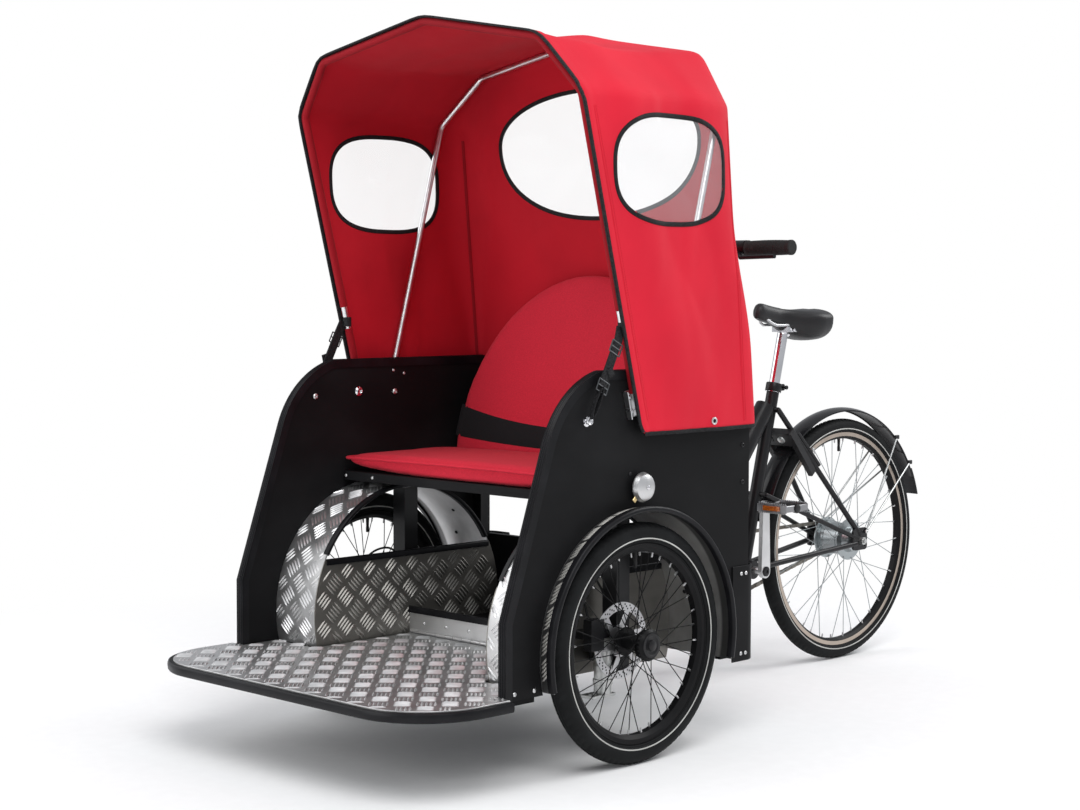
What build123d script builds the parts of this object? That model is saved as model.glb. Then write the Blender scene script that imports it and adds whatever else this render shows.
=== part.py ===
from build123d import *
import math
import os

# Passenger cargo tricycle: a two-seat cabin on two front wheels, hinged on a kingpin to a
# pedalled rear frame with one rear wheel. Millimetres, +Z up, facing -Y, its left side at +X.
# The origin lies on the ground at the middle of the whole vehicle.

# Wheels: R to the tread, W and H across and up the tyre's section
WHEELBASE = 1270.0
TRACK_HALF = 423.0
FRONT_R, FRONT_TYRE_W, FRONT_TYRE_H, FRONT_RIM_W, FRONT_RIM_DEPTH = 250.0, 47.0, 45.0, 30.0, 16.0
REAR_R, REAR_TYRE_W, REAR_TYRE_H, REAR_RIM_W, REAR_RIM_DEPTH = 317.5, 40.0, 34.5, 26.0, 18.0
SPOKE_R = 1.0
SPOKES_PER_SIDE = 18
FRONT_LEAD, REAR_LEAD = 55.0, 35.0  # degrees that a spoke runs round from its flange to the rim
FRONT_AXLE_R, REAR_AXLE_R, BLIND = 10.0, 6.0, 30.0
FRONT_FLANGE_X, FRONT_FLANGE_R, FLANGE_T = 25.5, 30.0, 3.0
FRONT_BOSS_R, FRONT_BOSS_X, FRONT_CAP_R, FRONT_CAP_X = 22.0, 46.0, 32.5, 45.0
REAR_FLANGE_X, REAR_FLANGE_R, REAR_BARREL_R, REAR_BOSS_R = 35.5, 54.0, 42.0, 18.0
ROTOR_R, ROTOR_T, ROTOR_X, ROTOR_BAND, ROTOR_ARM_W = 80.0, 2.0, 42.0, 17.0, 12.0
ROTOR_ARMS = 6

# Box: boards and sheet
FOOT_REACH = 620.0
PANEL_INNER_X, PANEL_T = 410.0, 15.0
PANEL_FRONT, PANEL_REAR = 372.0, 365.0
PANEL_BOTTOM, PANEL_TOP = 180.0, 808.0
ARCH_R, SHEET_T = 280.0, 3.0
ARCH_OUT_X, ARCH_FOOT_Z = 457.0, 186.0
WELL_X, WELL_TOP = 275.0, 375.0
FLOOR_TOP, FLOOR_T = 188.0, 22.0
FOOT_CORNER_R = 70.0
RISER_TOP, REAR_FLOOR_T = 245.0, 12.0
LOWER_PANEL_TOP, UPPER_PANEL_BOTTOM = 377.0, 530.0

# Seat
SEAT_Z, SEAT_T, SEAT_FRONT, SEAT_REAR = 537.0, 20.0, 90.0, 330.0
CUSHION_T, CUSHION_REAR = 40.0, 228.0
CUSHION_SIDE_GAP, CUSHION_LIP, CUSHION_CORNER_R = 2.0, 10.0, 45.0
BACK_FOOT, BACK_LEAN, BACK_T, BACK_BOARD_T = 236.0, 9.5, 26.0, 9.0
BACK_HALF_W, BACK_RISE, BACK_CENTRE_RISE = 392.0, 427.0, 40.0
BACK_BOARD_INSET = 14.0

# Front frame and axle carriers
POST, POST_X, POST_TOP, POST_FOOT = 40.0, 333.0, 516.0, 165.0
BEAM_Z = 192.0
CARRIER_R, CARRIER_FOOT, CARRIER_TOP = 19.0, 128.0, 276.0
REAR_POST, REAR_POST_X = 30.0, 388.0
CALIPER_HALF_W, CALIPER_SLOT, CALIPER_WALL = 16.0, 2.5, 8.0
CALIPER_AHEAD, CALIPER_BEHIND = 14.0, 24.0  # from the rotor's front
CALIPER_DROP, CALIPER_RISE = 12.0, 52.0  # from the axle
CALIPER_ARM_LOW, CALIPER_ARM_HIGH = 8.0, 24.0

# Steering pivot
PIVOT_BEHIND_AXLE = 60.0
PIN_R, HEAD_R, HEAD_LOW, HEAD_HIGH, LUG_T = 12.0, 27.0, 105.0, 157.0, 12.0

# Hood: from its hem, an upright side, the sloping shoulder's rise and the ridge's rise over the eave
CLOTH_T, FILM_T, BOW_R, BOW_BEND = 3.0, 1.0, 7.0, 30.0
HOOD_HEM, HOOD_SIDE, EAVE_RISE, RIDGE_RISE = 680.0, 688.0, 118.0, 62.0
EAVE_INSET = 100.0
HOOD_FRONT_FOOT, HOOD_FRONT_RAKE, HOOD_PEAK = -8.0, 14.5, 23.0
HOOD_REAR_FOOT, HOOD_REAR_LEAN = 386.0, 5.25
HOOD_CORNER_R = 34.0
FRONT_BOW_FOOT_Z, REAR_BOW_FOOT = 752.0, (74.0, 734.0)
FRONT_BOW_SETBACK, REAR_BOW_SETBACK, REAR_KNEE_SETBACK = 12.0, 17.0, 79.0
# windows: centre behind the axle, centre's drop from the shoulder, width, height, corner
SIDE_WINDOW = dict(y=76.0, drop=150.0, w=320.0, h=212.0, r=95.0)
REAR_WINDOW = dict(drop=88.0, w=620.0, h=260.0, r=120.0)
STRAP_W, STRAP_T = 25.0, 2.5
STRAP_TOP_Z, STRAP_FOOT = 905.0, (-150.0, 722.0)

# Push bar
BAR_R, BAR_Y, BAR_Z, BAR_HALF = 12.0, 545.0, 1070.0, 400.0
BAR_LEG_R, BAR_LEG_X, BAR_LEG_FOOT_Z, BAR_LEG_KNEE = 11.0, 190.0, 600.0, (470.0, 880.0)
BAR_LEG_OUT, BAR_FLANGE_R, BAR_FLANGE_T = 70.0, 28.0, 5.0
GRIP_R, GRIP_L = 16.0, 130.0
BELL_R, BELL_H, BELL_PLACE = 31.0, 28.0, (7.0, 572.0)

# Rear frame: (behind the front axle, height) of each node of the frame
BB, SEAT_TOP_END = (875.0, 275.0), (988.0, 715.0)
CLUSTER = (957.0, 680.0)
BEAM_R, SEAT_TUBE_R, LOWER_TUBE_R, BB_R, BB_HALF = 25.0, 16.0, 17.0, 23.0, 34.0
BEAM_RISE, BEAM_BEND = 51.0, 120.0
DROPOUT_X, DROPOUT_T, DROPOUT_CORNER_R = 70.0, 6.0, 10.0
DROPOUT_AHEAD, DROPOUT_BEHIND, DROPOUT_DROP, DROPOUT_RISE = 34.0, 26.0, 24.0, 34.0
MUDGUARD_R, MUDGUARD_W, MUDGUARD_T = 341.0, 52.0, 2.5
MUDGUARD_FROM, MUDGUARD_TO, MUDGUARD_BETWEEN = 25.0, 168.0, (70.0, 120.0)
STAY_WIRE_R, EYELET_R, EYELET_INSET = 2.5, 2.5, 11.0
STAY_ROOT, STAY_SPREADS = (15.0, 23.0), (8.0, 24.0)  # from the rear axle; degrees up from the guard's end
SADDLE_Y, SADDLE_TOP, SADDLE_T = 1040.0, 935.0, 36.0
RAIL_R, RAIL_X, RAIL_DROP = 3.5, 22.0, 14.0
POST_R, COLLAR_R, CLAMP_T = 13.5, 19.0, 14.0
LOCK_T, LOCK_HALF_W, LOCK_LEG, LOCK_BASE, LOCK_REACH = 18.0, 52.0, 16.0, 44.0, 150.0
BRAKE_ARM_R, BRAKE_SHOE_R, BRAKE_SHOE_L = 5.5, 4.5, 46.0

# Drive
CRANK_L, CRANK_X, CRANK_T, SPINDLE_R = 165.0, 60.0, 12.0, 9.0
CRANK_BOSS_R, CRANK_EYE_R, SPIDER_R = 17.0, 12.0, 22.0
CHAIN_X, CHAIN_W, RING_R, SPROCKET_R, RING_T = 50.0, 6.0, 78.0, 34.0, 2.0
CHAIN_INSIDE, CHAIN_OUTSIDE = 0.6, 8.0
RING_HOLE_R, RING_HOLE_AT = 19.0, 48.0
RING_HOLES = 5
PEDAL_L, PEDAL_W, PEDAL_T, PEDAL_PIN_R, PEDAL_GAP = 95.0, 88.0, 26.0, 6.0, 24.0

# Clearances: RUN in bearings, SEAT_GAP between fixed pieces, CLEAR beside what turns
RUN, SEAT_GAP, CLEAR = 0.05, 0.3, 5.0

# Everything is built with the front axle at Y = 0. CENTRE_Y then brings the origin to the middle.
AXLE_Y = 0.0
REAR_AXLE_Y = AXLE_Y + WHEELBASE
CENTRE_Y = (FOOT_REACH - WHEELBASE - REAR_R) / 2
FRONT_RIM_R, REAR_RIM_R = FRONT_R - FRONT_TYRE_H, REAR_R - REAR_TYRE_H
PANEL_OUT_X = PANEL_INNER_X + PANEL_T
BOW_X = PANEL_OUT_X + SEAT_GAP + BOW_R
HOOD_X = BOW_X + BOW_R + SEAT_GAP + CLOTH_T
EAVE_X = HOOD_X - EAVE_INSET
HOOD_SHOULDER = HOOD_HEM + HOOD_SIDE
HOOD_EAVE = HOOD_SHOULDER + EAVE_RISE
HOOD_RIDGE = HOOD_EAVE + RIDGE_RISE
DROPOUT_END_X = DROPOUT_X + DROPOUT_T / 2
LOW = (Align.CENTER, Align.CENTER, Align.MIN)


def both(piece):
    """The left-hand piece with its mirror image, as two solids."""
    return Compound(children=[piece, mirror(piece, about=Plane.YZ)])


def rod(start, end, radius):
    """Round bar between two points."""
    start, end = Vector(start), Vector(end)
    plane = Plane(origin=start, z_dir=end - start)
    return plane * Cylinder(radius, (end - start).length, align=LOW)


def bent_tube(points, radius, bend):
    """Round tube through the points with one bend radius at every corner."""
    path = FilletPolyline(*points, radius=bend)
    return sweep(Plane(origin=path @ 0, z_dir=path % 0) * Circle(radius), path=path)


def side_sheet(outline, x, thickness):
    """Sheet with an outline in (Y, Z), from x outwards."""
    return extrude(Plane.YZ.offset(x) * outline, amount=thickness)


def cross_sheet(outline, y, thickness):
    """Sheet with an outline in (X, Z), from y rearwards."""
    plane = Plane((0, y, 0), x_dir=(1, 0, 0), z_dir=(0, -1, 0))
    return extrude(plane * outline, amount=-thickness)


def block(x0, x1, y0, y1, z0, z1):
    """Rectangular bar between two corners."""
    size = (x1 - x0, y1 - y0, z1 - z0)
    return Pos((x0 + x1) / 2, (y0 + y1) / 2, (z0 + z1) / 2) * Box(*size)


def turned(points):
    """Solid turned about X from a closed outline of (x, radius)."""
    return revolve(make_face(Plane.XZ * Polyline(*points, close=True)), axis=Axis.X)


# Wheels

def tyre(radius, width, rim_radius):
    seat_r = rim_radius + SEAT_GAP
    half = width / 2
    seat_half = math.sqrt(half**2 - (radius - half - seat_r) ** 2)
    crown = ThreePointArc((-seat_half, seat_r), (0, radius), (seat_half, seat_r))
    seat = Line((seat_half, seat_r), (-seat_half, seat_r))
    return revolve(make_face(Plane.XZ * Curve([crown, seat])), axis=Axis.X)


def rim(rim_radius, width, depth):
    half, waist = width / 2, width / 4
    shoulder = rim_radius - depth / 2
    inner = rim_radius - depth
    return turned([(-half, rim_radius), (half, rim_radius), (half - 1, shoulder), (waist, inner),
                   (-waist, inner), (1 - half, shoulder)])


def spokes(flange_x, flange_t, head_r, rim_inner_r, lead):
    """Crossed spokes: alternate heads outside and inside each flange, leading and trailing."""
    head_offset = flange_t / 2 + SPOKE_R + SEAT_GAP
    step = 360 / SPOKES_PER_SIDE
    rods = []
    for side in (1, -1):
        for hole in range(SPOKES_PER_SIDE):
            way = 1 if (hole + (side < 0)) % 2 == 0 else -1
            head_angle = math.radians(hole * step)
            rim_angle = math.radians(hole * step + way * lead)
            head_x = side * (flange_x + way * head_offset)
            rim_x = side * (3 + way * 1.5) * SPOKE_R
            end_r = rim_inner_r - SPOKE_R
            head = (head_x, head_r * math.cos(head_angle), head_r * math.sin(head_angle))
            end = (rim_x, end_r * math.cos(rim_angle), end_r * math.sin(rim_angle))
            rods.append(rod(head, end, SPOKE_R))
    return rods


def front_hub():
    """Left hub: blind bearing bore from the inside, large round cap outside."""
    bore, barrel, neck = FRONT_AXLE_R + RUN, 17.0, 20.0
    inner, outer = FRONT_FLANGE_X - FLANGE_T / 2, FRONT_FLANGE_X + FLANGE_T / 2
    cap_from, edge = 33.0, 5.0
    shell = turned([
        (-FRONT_BOSS_X, bore), (-FRONT_BOSS_X, FRONT_BOSS_R), (-outer, FRONT_BOSS_R),
        (-outer, FRONT_FLANGE_R), (-inner, FRONT_FLANGE_R), (-inner, barrel), (inner, barrel),
        (inner, FRONT_FLANGE_R), (outer, FRONT_FLANGE_R), (outer, neck), (cap_from, neck),
        (cap_from, FRONT_CAP_R), (FRONT_CAP_X - edge, FRONT_CAP_R),
        (FRONT_CAP_X, FRONT_CAP_R - edge), (FRONT_CAP_X, 0), (BLIND, 0), (BLIND, bore)])
    rods = spokes(FRONT_FLANGE_X, FLANGE_T, FRONT_FLANGE_R - 4, FRONT_RIM_R - FRONT_RIM_DEPTH, FRONT_LEAD)
    return Compound(children=[shell] + rods)


def brake_rotor():
    """Left rotor, on the hub's inner boss: a band on slanted arms."""
    collar = ROTOR_ARM_W
    windows = Circle(ROTOR_R - ROTOR_BAND) - Circle(FRONT_BOSS_R + collar)
    for k in range(ROTOR_ARMS):
        windows -= Rot(0, 0, k * 360 / ROTOR_ARMS) * Pos(0, ROTOR_ARM_W) \
            * Rectangle(ROTOR_R, ROTOR_ARM_W, align=(Align.MIN, Align.CENTER))
    disc = Circle(ROTOR_R) - Circle(FRONT_BOSS_R + SEAT_GAP) - windows
    return side_sheet(disc, -ROTOR_X, ROTOR_T)


def rear_hub():
    """Large geared hub with its sprocket on the right."""
    bore = REAR_AXLE_R + RUN
    inner, outer = REAR_FLANGE_X - FLANGE_T / 2, REAR_FLANGE_X + FLANGE_T / 2
    cover, end = 34.0, DROPOUT_X - 10
    sprocket_in, sprocket_out = CHAIN_X - RING_T, CHAIN_X + RING_T
    shell = turned([
        (-end, bore), (-end, REAR_BOSS_R), (-sprocket_out, REAR_BOSS_R), (-sprocket_out, SPROCKET_R),
        (-sprocket_in, SPROCKET_R), (-sprocket_in, REAR_BOSS_R), (-outer, cover),
        (-outer, REAR_FLANGE_R), (-inner, REAR_FLANGE_R), (-inner, REAR_BARREL_R),
        (inner, REAR_BARREL_R), (inner, REAR_FLANGE_R), (outer, REAR_FLANGE_R), (outer, cover),
        (end - 8, cover - 6), (end, REAR_BOSS_R), (end, bore)])
    rods = spokes(REAR_FLANGE_X, FLANGE_T, REAR_FLANGE_R - 5, REAR_RIM_R - REAR_RIM_DEPTH, REAR_LEAD)
    return Compound(children=[shell] + rods)


def front_wheel_parts():
    """The left wheel's pieces, outer side at +X, about its own centre."""
    return {"tyre": tyre(FRONT_R, FRONT_TYRE_W, FRONT_RIM_R),
            "rim": rim(FRONT_RIM_R, FRONT_RIM_W, FRONT_RIM_DEPTH),
            "hub": front_hub(), "rotor": brake_rotor()}


# Box

def panel_outline():
    """Side board: upright toe, raked front edge, round shoulder, level top."""
    toe_top, rake_top, shoulder_back = 330.0, (255.0, 672.0), 110.0
    front, rear = -PANEL_FRONT, PANEL_REAR
    rake = (-rake_top[0], rake_top[1])
    edge = Polyline((-shoulder_back, PANEL_TOP), (rear, PANEL_TOP), (rear, PANEL_BOTTOM),
                    (front, PANEL_BOTTOM), (front, toe_top), rake)
    rake_dir = (rake[0] - front, rake[1] - toe_top)
    shoulder = TangentArc(rake, (-shoulder_back, PANEL_TOP), tangent=rake_dir)
    return make_face([edge, shoulder])


def arch_hole(radius):
    """Disc about the front axle, in (Y, Z)."""
    return Pos(AXLE_Y, FRONT_R) * Circle(radius)


def side_panel():
    return side_sheet(panel_outline() - arch_hole(ARCH_R + SEAT_GAP), PANEL_INNER_X, PANEL_T)


def wheel_arch():
    """Bent sheet over the left wheel, through the side board's cut-out."""
    ring = arch_hole(ARCH_R) - arch_hole(ARCH_R - SHEET_T)
    reach = 3 * ARCH_R
    above = Pos(AXLE_Y, ARCH_FOOT_Z) * Rectangle(reach, reach, align=(Align.CENTER, Align.MIN))
    return side_sheet(ring & above, WELL_X, ARCH_OUT_X - WELL_X)


def well_wall():
    """Upright sheet between the left wheel and the footwell."""
    foot = FLOOR_TOP - FLOOR_T
    band = Pos(AXLE_Y, (foot + WELL_TOP) / 2) * Rectangle(3 * ARCH_R, WELL_TOP - foot)
    sheet = side_sheet(arch_hole(ARCH_R) & band, WELL_X - SHEET_T, SHEET_T)
    return sheet - grown_beam()


def beam_span():
    """Front and rear faces of the cross beam, behind the axle carriers."""
    front = CARRIER_R + SEAT_GAP
    return front, front + POST


def grown_beam():
    """The cross beam's passage through the well walls."""
    front, rear = beam_span()
    return block(-POST_X, POST_X, front - SEAT_GAP, rear + SEAT_GAP, BEAM_Z - SEAT_GAP,
                 BEAM_Z + POST + SEAT_GAP)


def footboard_outline(inset):
    """Floor board: wide rounded front, narrower between the wheel wells."""
    wide, narrow = PANEL_INNER_X - SEAT_GAP - inset, WELL_X - SHEET_T - SEAT_GAP - inset
    front, step = inset - FOOT_REACH, -ARCH_R - SEAT_GAP - inset
    wide_part = Pos(0, (front + step) / 2) * Rectangle(2 * wide, step - front)
    corners = wide_part.vertices().group_by(Axis.Y)[0]
    wide_part = fillet(corners, FOOT_CORNER_R - inset)
    narrow_rear = -SHEET_T - SEAT_GAP
    narrow_part = Pos(0, (step + narrow_rear) / 2) * Rectangle(2 * narrow, narrow_rear - step)
    return wide_part + narrow_part


def footboard():
    return Pos(0, 0, FLOOR_TOP - FLOOR_T) * extrude(footboard_outline(0), amount=FLOOR_T - SHEET_T)


def footboard_plate():
    inset = 8.0
    return Pos(0, 0, FLOOR_TOP - SHEET_T) * extrude(footboard_outline(inset), amount=SHEET_T)


def threshold_riser():
    half = WELL_X - SHEET_T - SEAT_GAP
    return block(-half, half, -SHEET_T, 0, FLOOR_TOP - FLOOR_T, RISER_TOP)


def rear_floor():
    """Low floor under the seat, from the cross beam to the lower rear board."""
    half, low = WELL_X - SHEET_T - SEAT_GAP, BEAM_Z + SEAT_GAP
    front = beam_span()[1] + SEAT_GAP
    return block(-half, half, front, PANEL_REAR - PANEL_T - SEAT_GAP, low, low + REAR_FLOOR_T)


def rear_lower_panel():
    half = PANEL_INNER_X - SEAT_GAP
    outline = Pos(0, (PANEL_BOTTOM + LOWER_PANEL_TOP) / 2) * Rectangle(2 * half, LOWER_PANEL_TOP - PANEL_BOTTOM)
    return cross_sheet(outline, PANEL_REAR - PANEL_T, PANEL_T)


def rear_upper_panel():
    half = PANEL_INNER_X - SEAT_GAP
    height = PANEL_TOP - UPPER_PANEL_BOTTOM
    outline = Pos(0, UPPER_PANEL_BOTTOM + height / 2) * Rectangle(2 * half, height)
    outline = fillet(outline.vertices().group_by(Axis.Y)[-1], height / 3)
    return cross_sheet(outline, PANEL_REAR - PANEL_T, PANEL_T)


def front_frame():
    """Welded tube: cross beam, axle posts, rear posts, pivot bracket under the beam."""
    front, rear = beam_span()
    frame = block(-POST_X, POST_X, front, rear, BEAM_Z, BEAM_Z + POST)
    for side in (1, -1):
        x = side * POST_X
        frame += block(x - POST / 2, x + POST / 2, front, rear, POST_FOOT, POST_TOP)
    return frame + pivot_bracket()


def pivot_bracket():
    """Two lugs for the kingpin, joined ahead of the head tube and hung from the cross beam."""
    y = PIVOT_BEHIND_AXLE
    web_t, gap = 12.0, 1.0
    low, high = HEAD_LOW - gap - LUG_T, HEAD_HIGH + gap
    web_y = y - HEAD_R - CLEAR - web_t
    lug_r = HEAD_R
    bracket = block(-lug_r, lug_r, web_y, web_y + web_t, low, BEAM_Z)
    for z in (low, high):
        bracket += block(-lug_r, lug_r, web_y, y, z, z + LUG_T)
        bracket += Pos(0, y, z) * Cylinder(lug_r, LUG_T, align=LOW)
    bracket += block(-lug_r, lug_r, web_y, y, high, BEAM_Z)
    return bracket - Pos(0, y, 0) * Cylinder(PIN_R + RUN, BEAM_Z - POST / 4, align=LOW)


def rear_posts():
    """Uprights that carry the upper rear board over the open gap."""
    rear = PANEL_REAR - PANEL_T - SEAT_GAP
    x0 = REAR_POST_X - REAR_POST / 2
    return both(block(x0, x0 + REAR_POST, rear - REAR_POST, rear, PANEL_BOTTOM, SEAT_Z - SEAT_GAP))


def kingpin():
    """Zinc pin with a head below the lower lug."""
    head_r, head_t, gap = 18.0, 8.0, 1.0
    low = HEAD_LOW - gap - LUG_T
    top = HEAD_HIGH + gap + LUG_T
    pin = Pos(0, 0, low - SEAT_GAP) * Cylinder(PIN_R, top - low, align=LOW)
    pin += Pos(0, 0, low - SEAT_GAP - head_t) * Cylinder(head_r, head_t, align=LOW)
    return Pos(0, PIVOT_BEHIND_AXLE, 0) * pin


def axle_carrier():
    """Zinc upright in front of the axle post with a foot plate, a link plate and the stub axle."""
    foot_t, foot_reach = 6.0, 50.0
    carrier = Pos(POST_X, AXLE_Y, CARRIER_FOOT) * Cylinder(CARRIER_R, CARRIER_TOP - CARRIER_FOOT, align=LOW)
    carrier += block(POST_X - CARRIER_R, POST_X + CARRIER_R, AXLE_Y - foot_reach, AXLE_Y + CARRIER_R,
                     CARRIER_FOOT, CARRIER_FOOT + foot_t)
    shoulder, tip = TRACK_HALF - FRONT_BOSS_X - SEAT_GAP, TRACK_HALF + BLIND - 1
    carrier += rod((POST_X, AXLE_Y, FRONT_R), (shoulder, AXLE_Y, FRONT_R), FRONT_BOSS_R - 5)
    carrier += rod((POST_X, AXLE_Y, FRONT_R), (tip, AXLE_Y, FRONT_R), FRONT_AXLE_R)
    return carrier


def brake_caliper():
    """Caliper astride the left rotor, on an arm from the axle carrier."""
    rotor_mid = TRACK_HALF - ROTOR_X + ROTOR_T / 2
    half_w, slot = CALIPER_HALF_W, ROTOR_T / 2 + CALIPER_SLOT
    y0, y1 = AXLE_Y - ROTOR_R - CALIPER_AHEAD, AXLE_Y - ROTOR_R + CALIPER_BEHIND
    z0, z1 = FRONT_R - CALIPER_DROP, FRONT_R + CALIPER_RISE
    body = block(rotor_mid - half_w, rotor_mid + half_w, y0, y1, z0, z1)
    body -= block(rotor_mid - slot, rotor_mid + slot, y0 + CALIPER_WALL, y1 + 1, z0 - 1, z1 + 1)
    body = body - (Pos(TRACK_HALF, AXLE_Y, FRONT_R) * tyre_sweep())
    arm_x = rotor_mid - half_w
    arm_end = AXLE_Y - CARRIER_R - SEAT_GAP
    arm = block(POST_X - 6, arm_x + 6, y0 + 10, arm_end, FRONT_R + CALIPER_ARM_LOW, FRONT_R + CALIPER_ARM_HIGH)
    return body + arm


def tyre_sweep():
    """Room that the turning spokes and hub flange need on the inner side of the wheel."""
    return turned([(-FRONT_FLANGE_X - 4 - CLEAR, 0), (-FRONT_FLANGE_X - 4 - CLEAR, ROTOR_R + 30),
                   (0, ROTOR_R + 30), (0, 0)])


# Seat

def seat_board():
    half = PANEL_INNER_X - SEAT_GAP
    board = block(-half, half, -SEAT_FRONT, SEAT_REAR, SEAT_Z, SEAT_Z + SEAT_T)
    return fillet(board.edges().filter_by(Axis.Z).group_by(Axis.Y)[0], SEAT_T)


def seat_cushion():
    half, low = PANEL_INNER_X - CUSHION_SIDE_GAP, SEAT_Z + SEAT_T + SEAT_GAP
    front = -SEAT_FRONT - CUSHION_LIP
    pad = block(-half, half, front, CUSHION_REAR, low, low + CUSHION_T)
    return fillet(pad.edges().filter_by(Axis.Z).group_by(Axis.Y)[0], CUSHION_CORNER_R)


def back_sheet(behind, thickness, inset, foot_rise):
    """Half-oval sheet leaning back about the line where its front face meets the seat board."""
    seat = SEAT_Z + SEAT_T
    oval = Pos(0, seat + BACK_CENTRE_RISE) * Ellipse(BACK_HALF_W - inset, BACK_RISE - inset)
    above = Pos(0, seat + foot_rise) * Rectangle(2 * BACK_HALF_W, 2 * BACK_RISE, align=(Align.CENTER, Align.MIN))
    hinge = Axis((0, BACK_FOOT, seat), (1, 0, 0))
    return cross_sheet(oval & above, BACK_FOOT + behind, thickness).rotate(hinge, -BACK_LEAN)


def backrest_cushion():
    return back_sheet(0, BACK_T, 0, CUSHION_T / 4)


def backrest_board():
    behind = BACK_T + SEAT_GAP
    lean = math.radians(BACK_LEAN)
    foot_rise = ((behind + BACK_BOARD_T) * math.sin(lean) + SEAT_GAP) / math.cos(lean)
    return back_sheet(behind, BACK_BOARD_T, BACK_BOARD_INSET, foot_rise)


# Hood

def hood_front_y(z):
    """Front edge of the hood's side at a height, behind the axle."""
    return HOOD_FRONT_FOOT - (z - HOOD_HEM) * math.tan(math.radians(HOOD_FRONT_RAKE))


def hood_rear_y(z):
    """Outside of the hood's rear wall at a height, behind the axle."""
    return HOOD_REAR_FOOT - (z - HOOD_HEM) * math.tan(math.radians(HOOD_REAR_LEAN))


def hood_corners(inset):
    """Shoulder, eave and ridge in (X, Z) on the left, set in from the cloth's outside."""
    slope, top = math.atan2(EAVE_RISE, EAVE_INSET), math.atan2(RIDGE_RISE, EAVE_X)
    shoulder = (HOOD_X - inset, HOOD_SHOULDER - inset * math.tan((math.pi / 2 - slope) / 2))
    mid, reach = (slope + top) / 2, inset / math.cos((slope - top) / 2)
    eave = (EAVE_X - reach * math.sin(mid), HOOD_EAVE - reach * math.cos(mid))
    return shoulder, eave, (0.0, HOOD_RIDGE - inset / math.cos(top))


def hood_section(inset):
    """Cross-section of the hood in (X, Z): upright sides, sloping shoulders, low ridge."""
    left = [(HOOD_X - inset, HOOD_HEM - CLEAR), *hood_corners(inset)]
    return make_face(Polyline(*left, *[(-x, z) for x, z in reversed(left[:-1])], close=True))


def hood_profile(front_ahead, rear_inset):
    """Side view of the hood in (Y, Z)."""
    over = HOOD_RIDGE + CLEAR
    peak = hood_front_y(HOOD_SHOULDER) - HOOD_PEAK
    front = [(hood_front_y(HOOD_HEM), HOOD_HEM), (hood_front_y(HOOD_SHOULDER), HOOD_SHOULDER), (peak, over)]
    rear = [(hood_rear_y(z) - rear_inset, z) for z in (over, HOOD_HEM)]
    return make_face(Polyline(*[(y - front_ahead, z) for y, z in front],
                              *[(y, z) for y, z in rear], close=True))


def hood_form(inset, front_ahead):
    """Closed form of the hood, its cloth's outside with no inset."""
    tunnel = cross_sheet(hood_section(inset), -FOOT_REACH, 2 * FOOT_REACH)
    form = tunnel & side_sheet(hood_profile(front_ahead, inset), -HOOD_X - CLEAR, 2 * (HOOD_X + CLEAR))
    corners = []
    for side in (1, -1):
        x = side * (HOOD_X - inset)
        edges = [e for e in form.edges() if abs(e.center().X - x) < SEAT_GAP]
        corners.append(max(edges, key=lambda e: e.center().Y))
    return fillet(corners, HOOD_CORNER_R - inset)


def side_window_cut(inset):
    w = SIDE_WINDOW
    outline = RectangleRounded(w["w"] - 2 * inset, w["h"] - 2 * inset, w["r"] - inset)
    outline = Pos(w["y"], HOOD_SHOULDER - w["drop"]) * outline
    return side_sheet(outline, -HOOD_X - CLEAR, 2 * (HOOD_X + CLEAR))


def rear_window_cut(inset):
    w = REAR_WINDOW
    outline = RectangleRounded(w["w"] - 2 * inset, w["h"] - 2 * inset, w["r"] - inset)
    mid = HOOD_SHOULDER - w["drop"]
    ahead = hood_rear_y(mid + w["h"]) - HOOD_CORNER_R
    return cross_sheet(Pos(0, mid) * outline, ahead, HOOD_REAR_FOOT - ahead + CLEAR)


def hood_pieces():
    """Cloth shell cut along its seams, with the windows' film."""
    shell = hood_form(0, 0) - hood_form(CLOTH_T, HOOD_CORNER_R)
    heights = (HOOD_HEM - CLEAR, HOOD_RIDGE + CLEAR)
    seam = [(hood_rear_y(z) - HOOD_CORNER_R, z) for z in heights]
    behind = [(hood_rear_y(z) + HOOD_CORNER_R, z) for z in reversed(heights)]
    wide = HOOD_X + CLEAR
    rear_zone = side_sheet(make_face(Polyline(*seam, *behind, close=True)), -wide, 2 * wide)
    front, rear = -FOOT_REACH, FOOT_REACH
    top_zone = block(-wide, wide, front, rear, HOOD_SHOULDER, HOOD_RIDGE + CLEAR)
    left_zone = block(0, wide, front, rear, 0, HOOD_SHOULDER)
    rear_wall, ahead = shell & rear_zone, shell - rear_zone
    side = (ahead & left_zone) - side_window_cut(0)
    film_x = HOOD_X - (CLOTH_T + FILM_T) / 2
    film_side = side_window_cut(SEAT_GAP) & block(film_x, film_x + FILM_T, front, rear, HOOD_HEM, HOOD_SHOULDER)
    inset = (CLOTH_T - FILM_T) / 2
    film_rear = rear_window_cut(SEAT_GAP) & (hood_form(inset, 0) - hood_form(inset + FILM_T, 0))
    return {"hood_roof": ahead & top_zone, "hood_rear": rear_wall - rear_window_cut(0),
            "hood_side_left": side, "hood_side_right": mirror(side, about=Plane.YZ),
            "hood_windows": Compound(children=[film_side, mirror(film_side, about=Plane.YZ), film_rear])}


def bow(foot, top_y, knee_y):
    """Bow inside the hood: from a foot bolt over the ridge to the other side."""
    knee, eave, ridge = hood_corners(CLOTH_T + SEAT_GAP + BOW_R)
    left = [(BOW_X, foot[0], foot[1]), (knee[0], knee_y, knee[1]), (eave[0], top_y, eave[1])]
    right = [(-x, y, z) for x, y, z in reversed(left)]
    return bent_tube(left + [(0, top_y, ridge[1])] + right, BOW_R, BOW_BEND)


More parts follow.
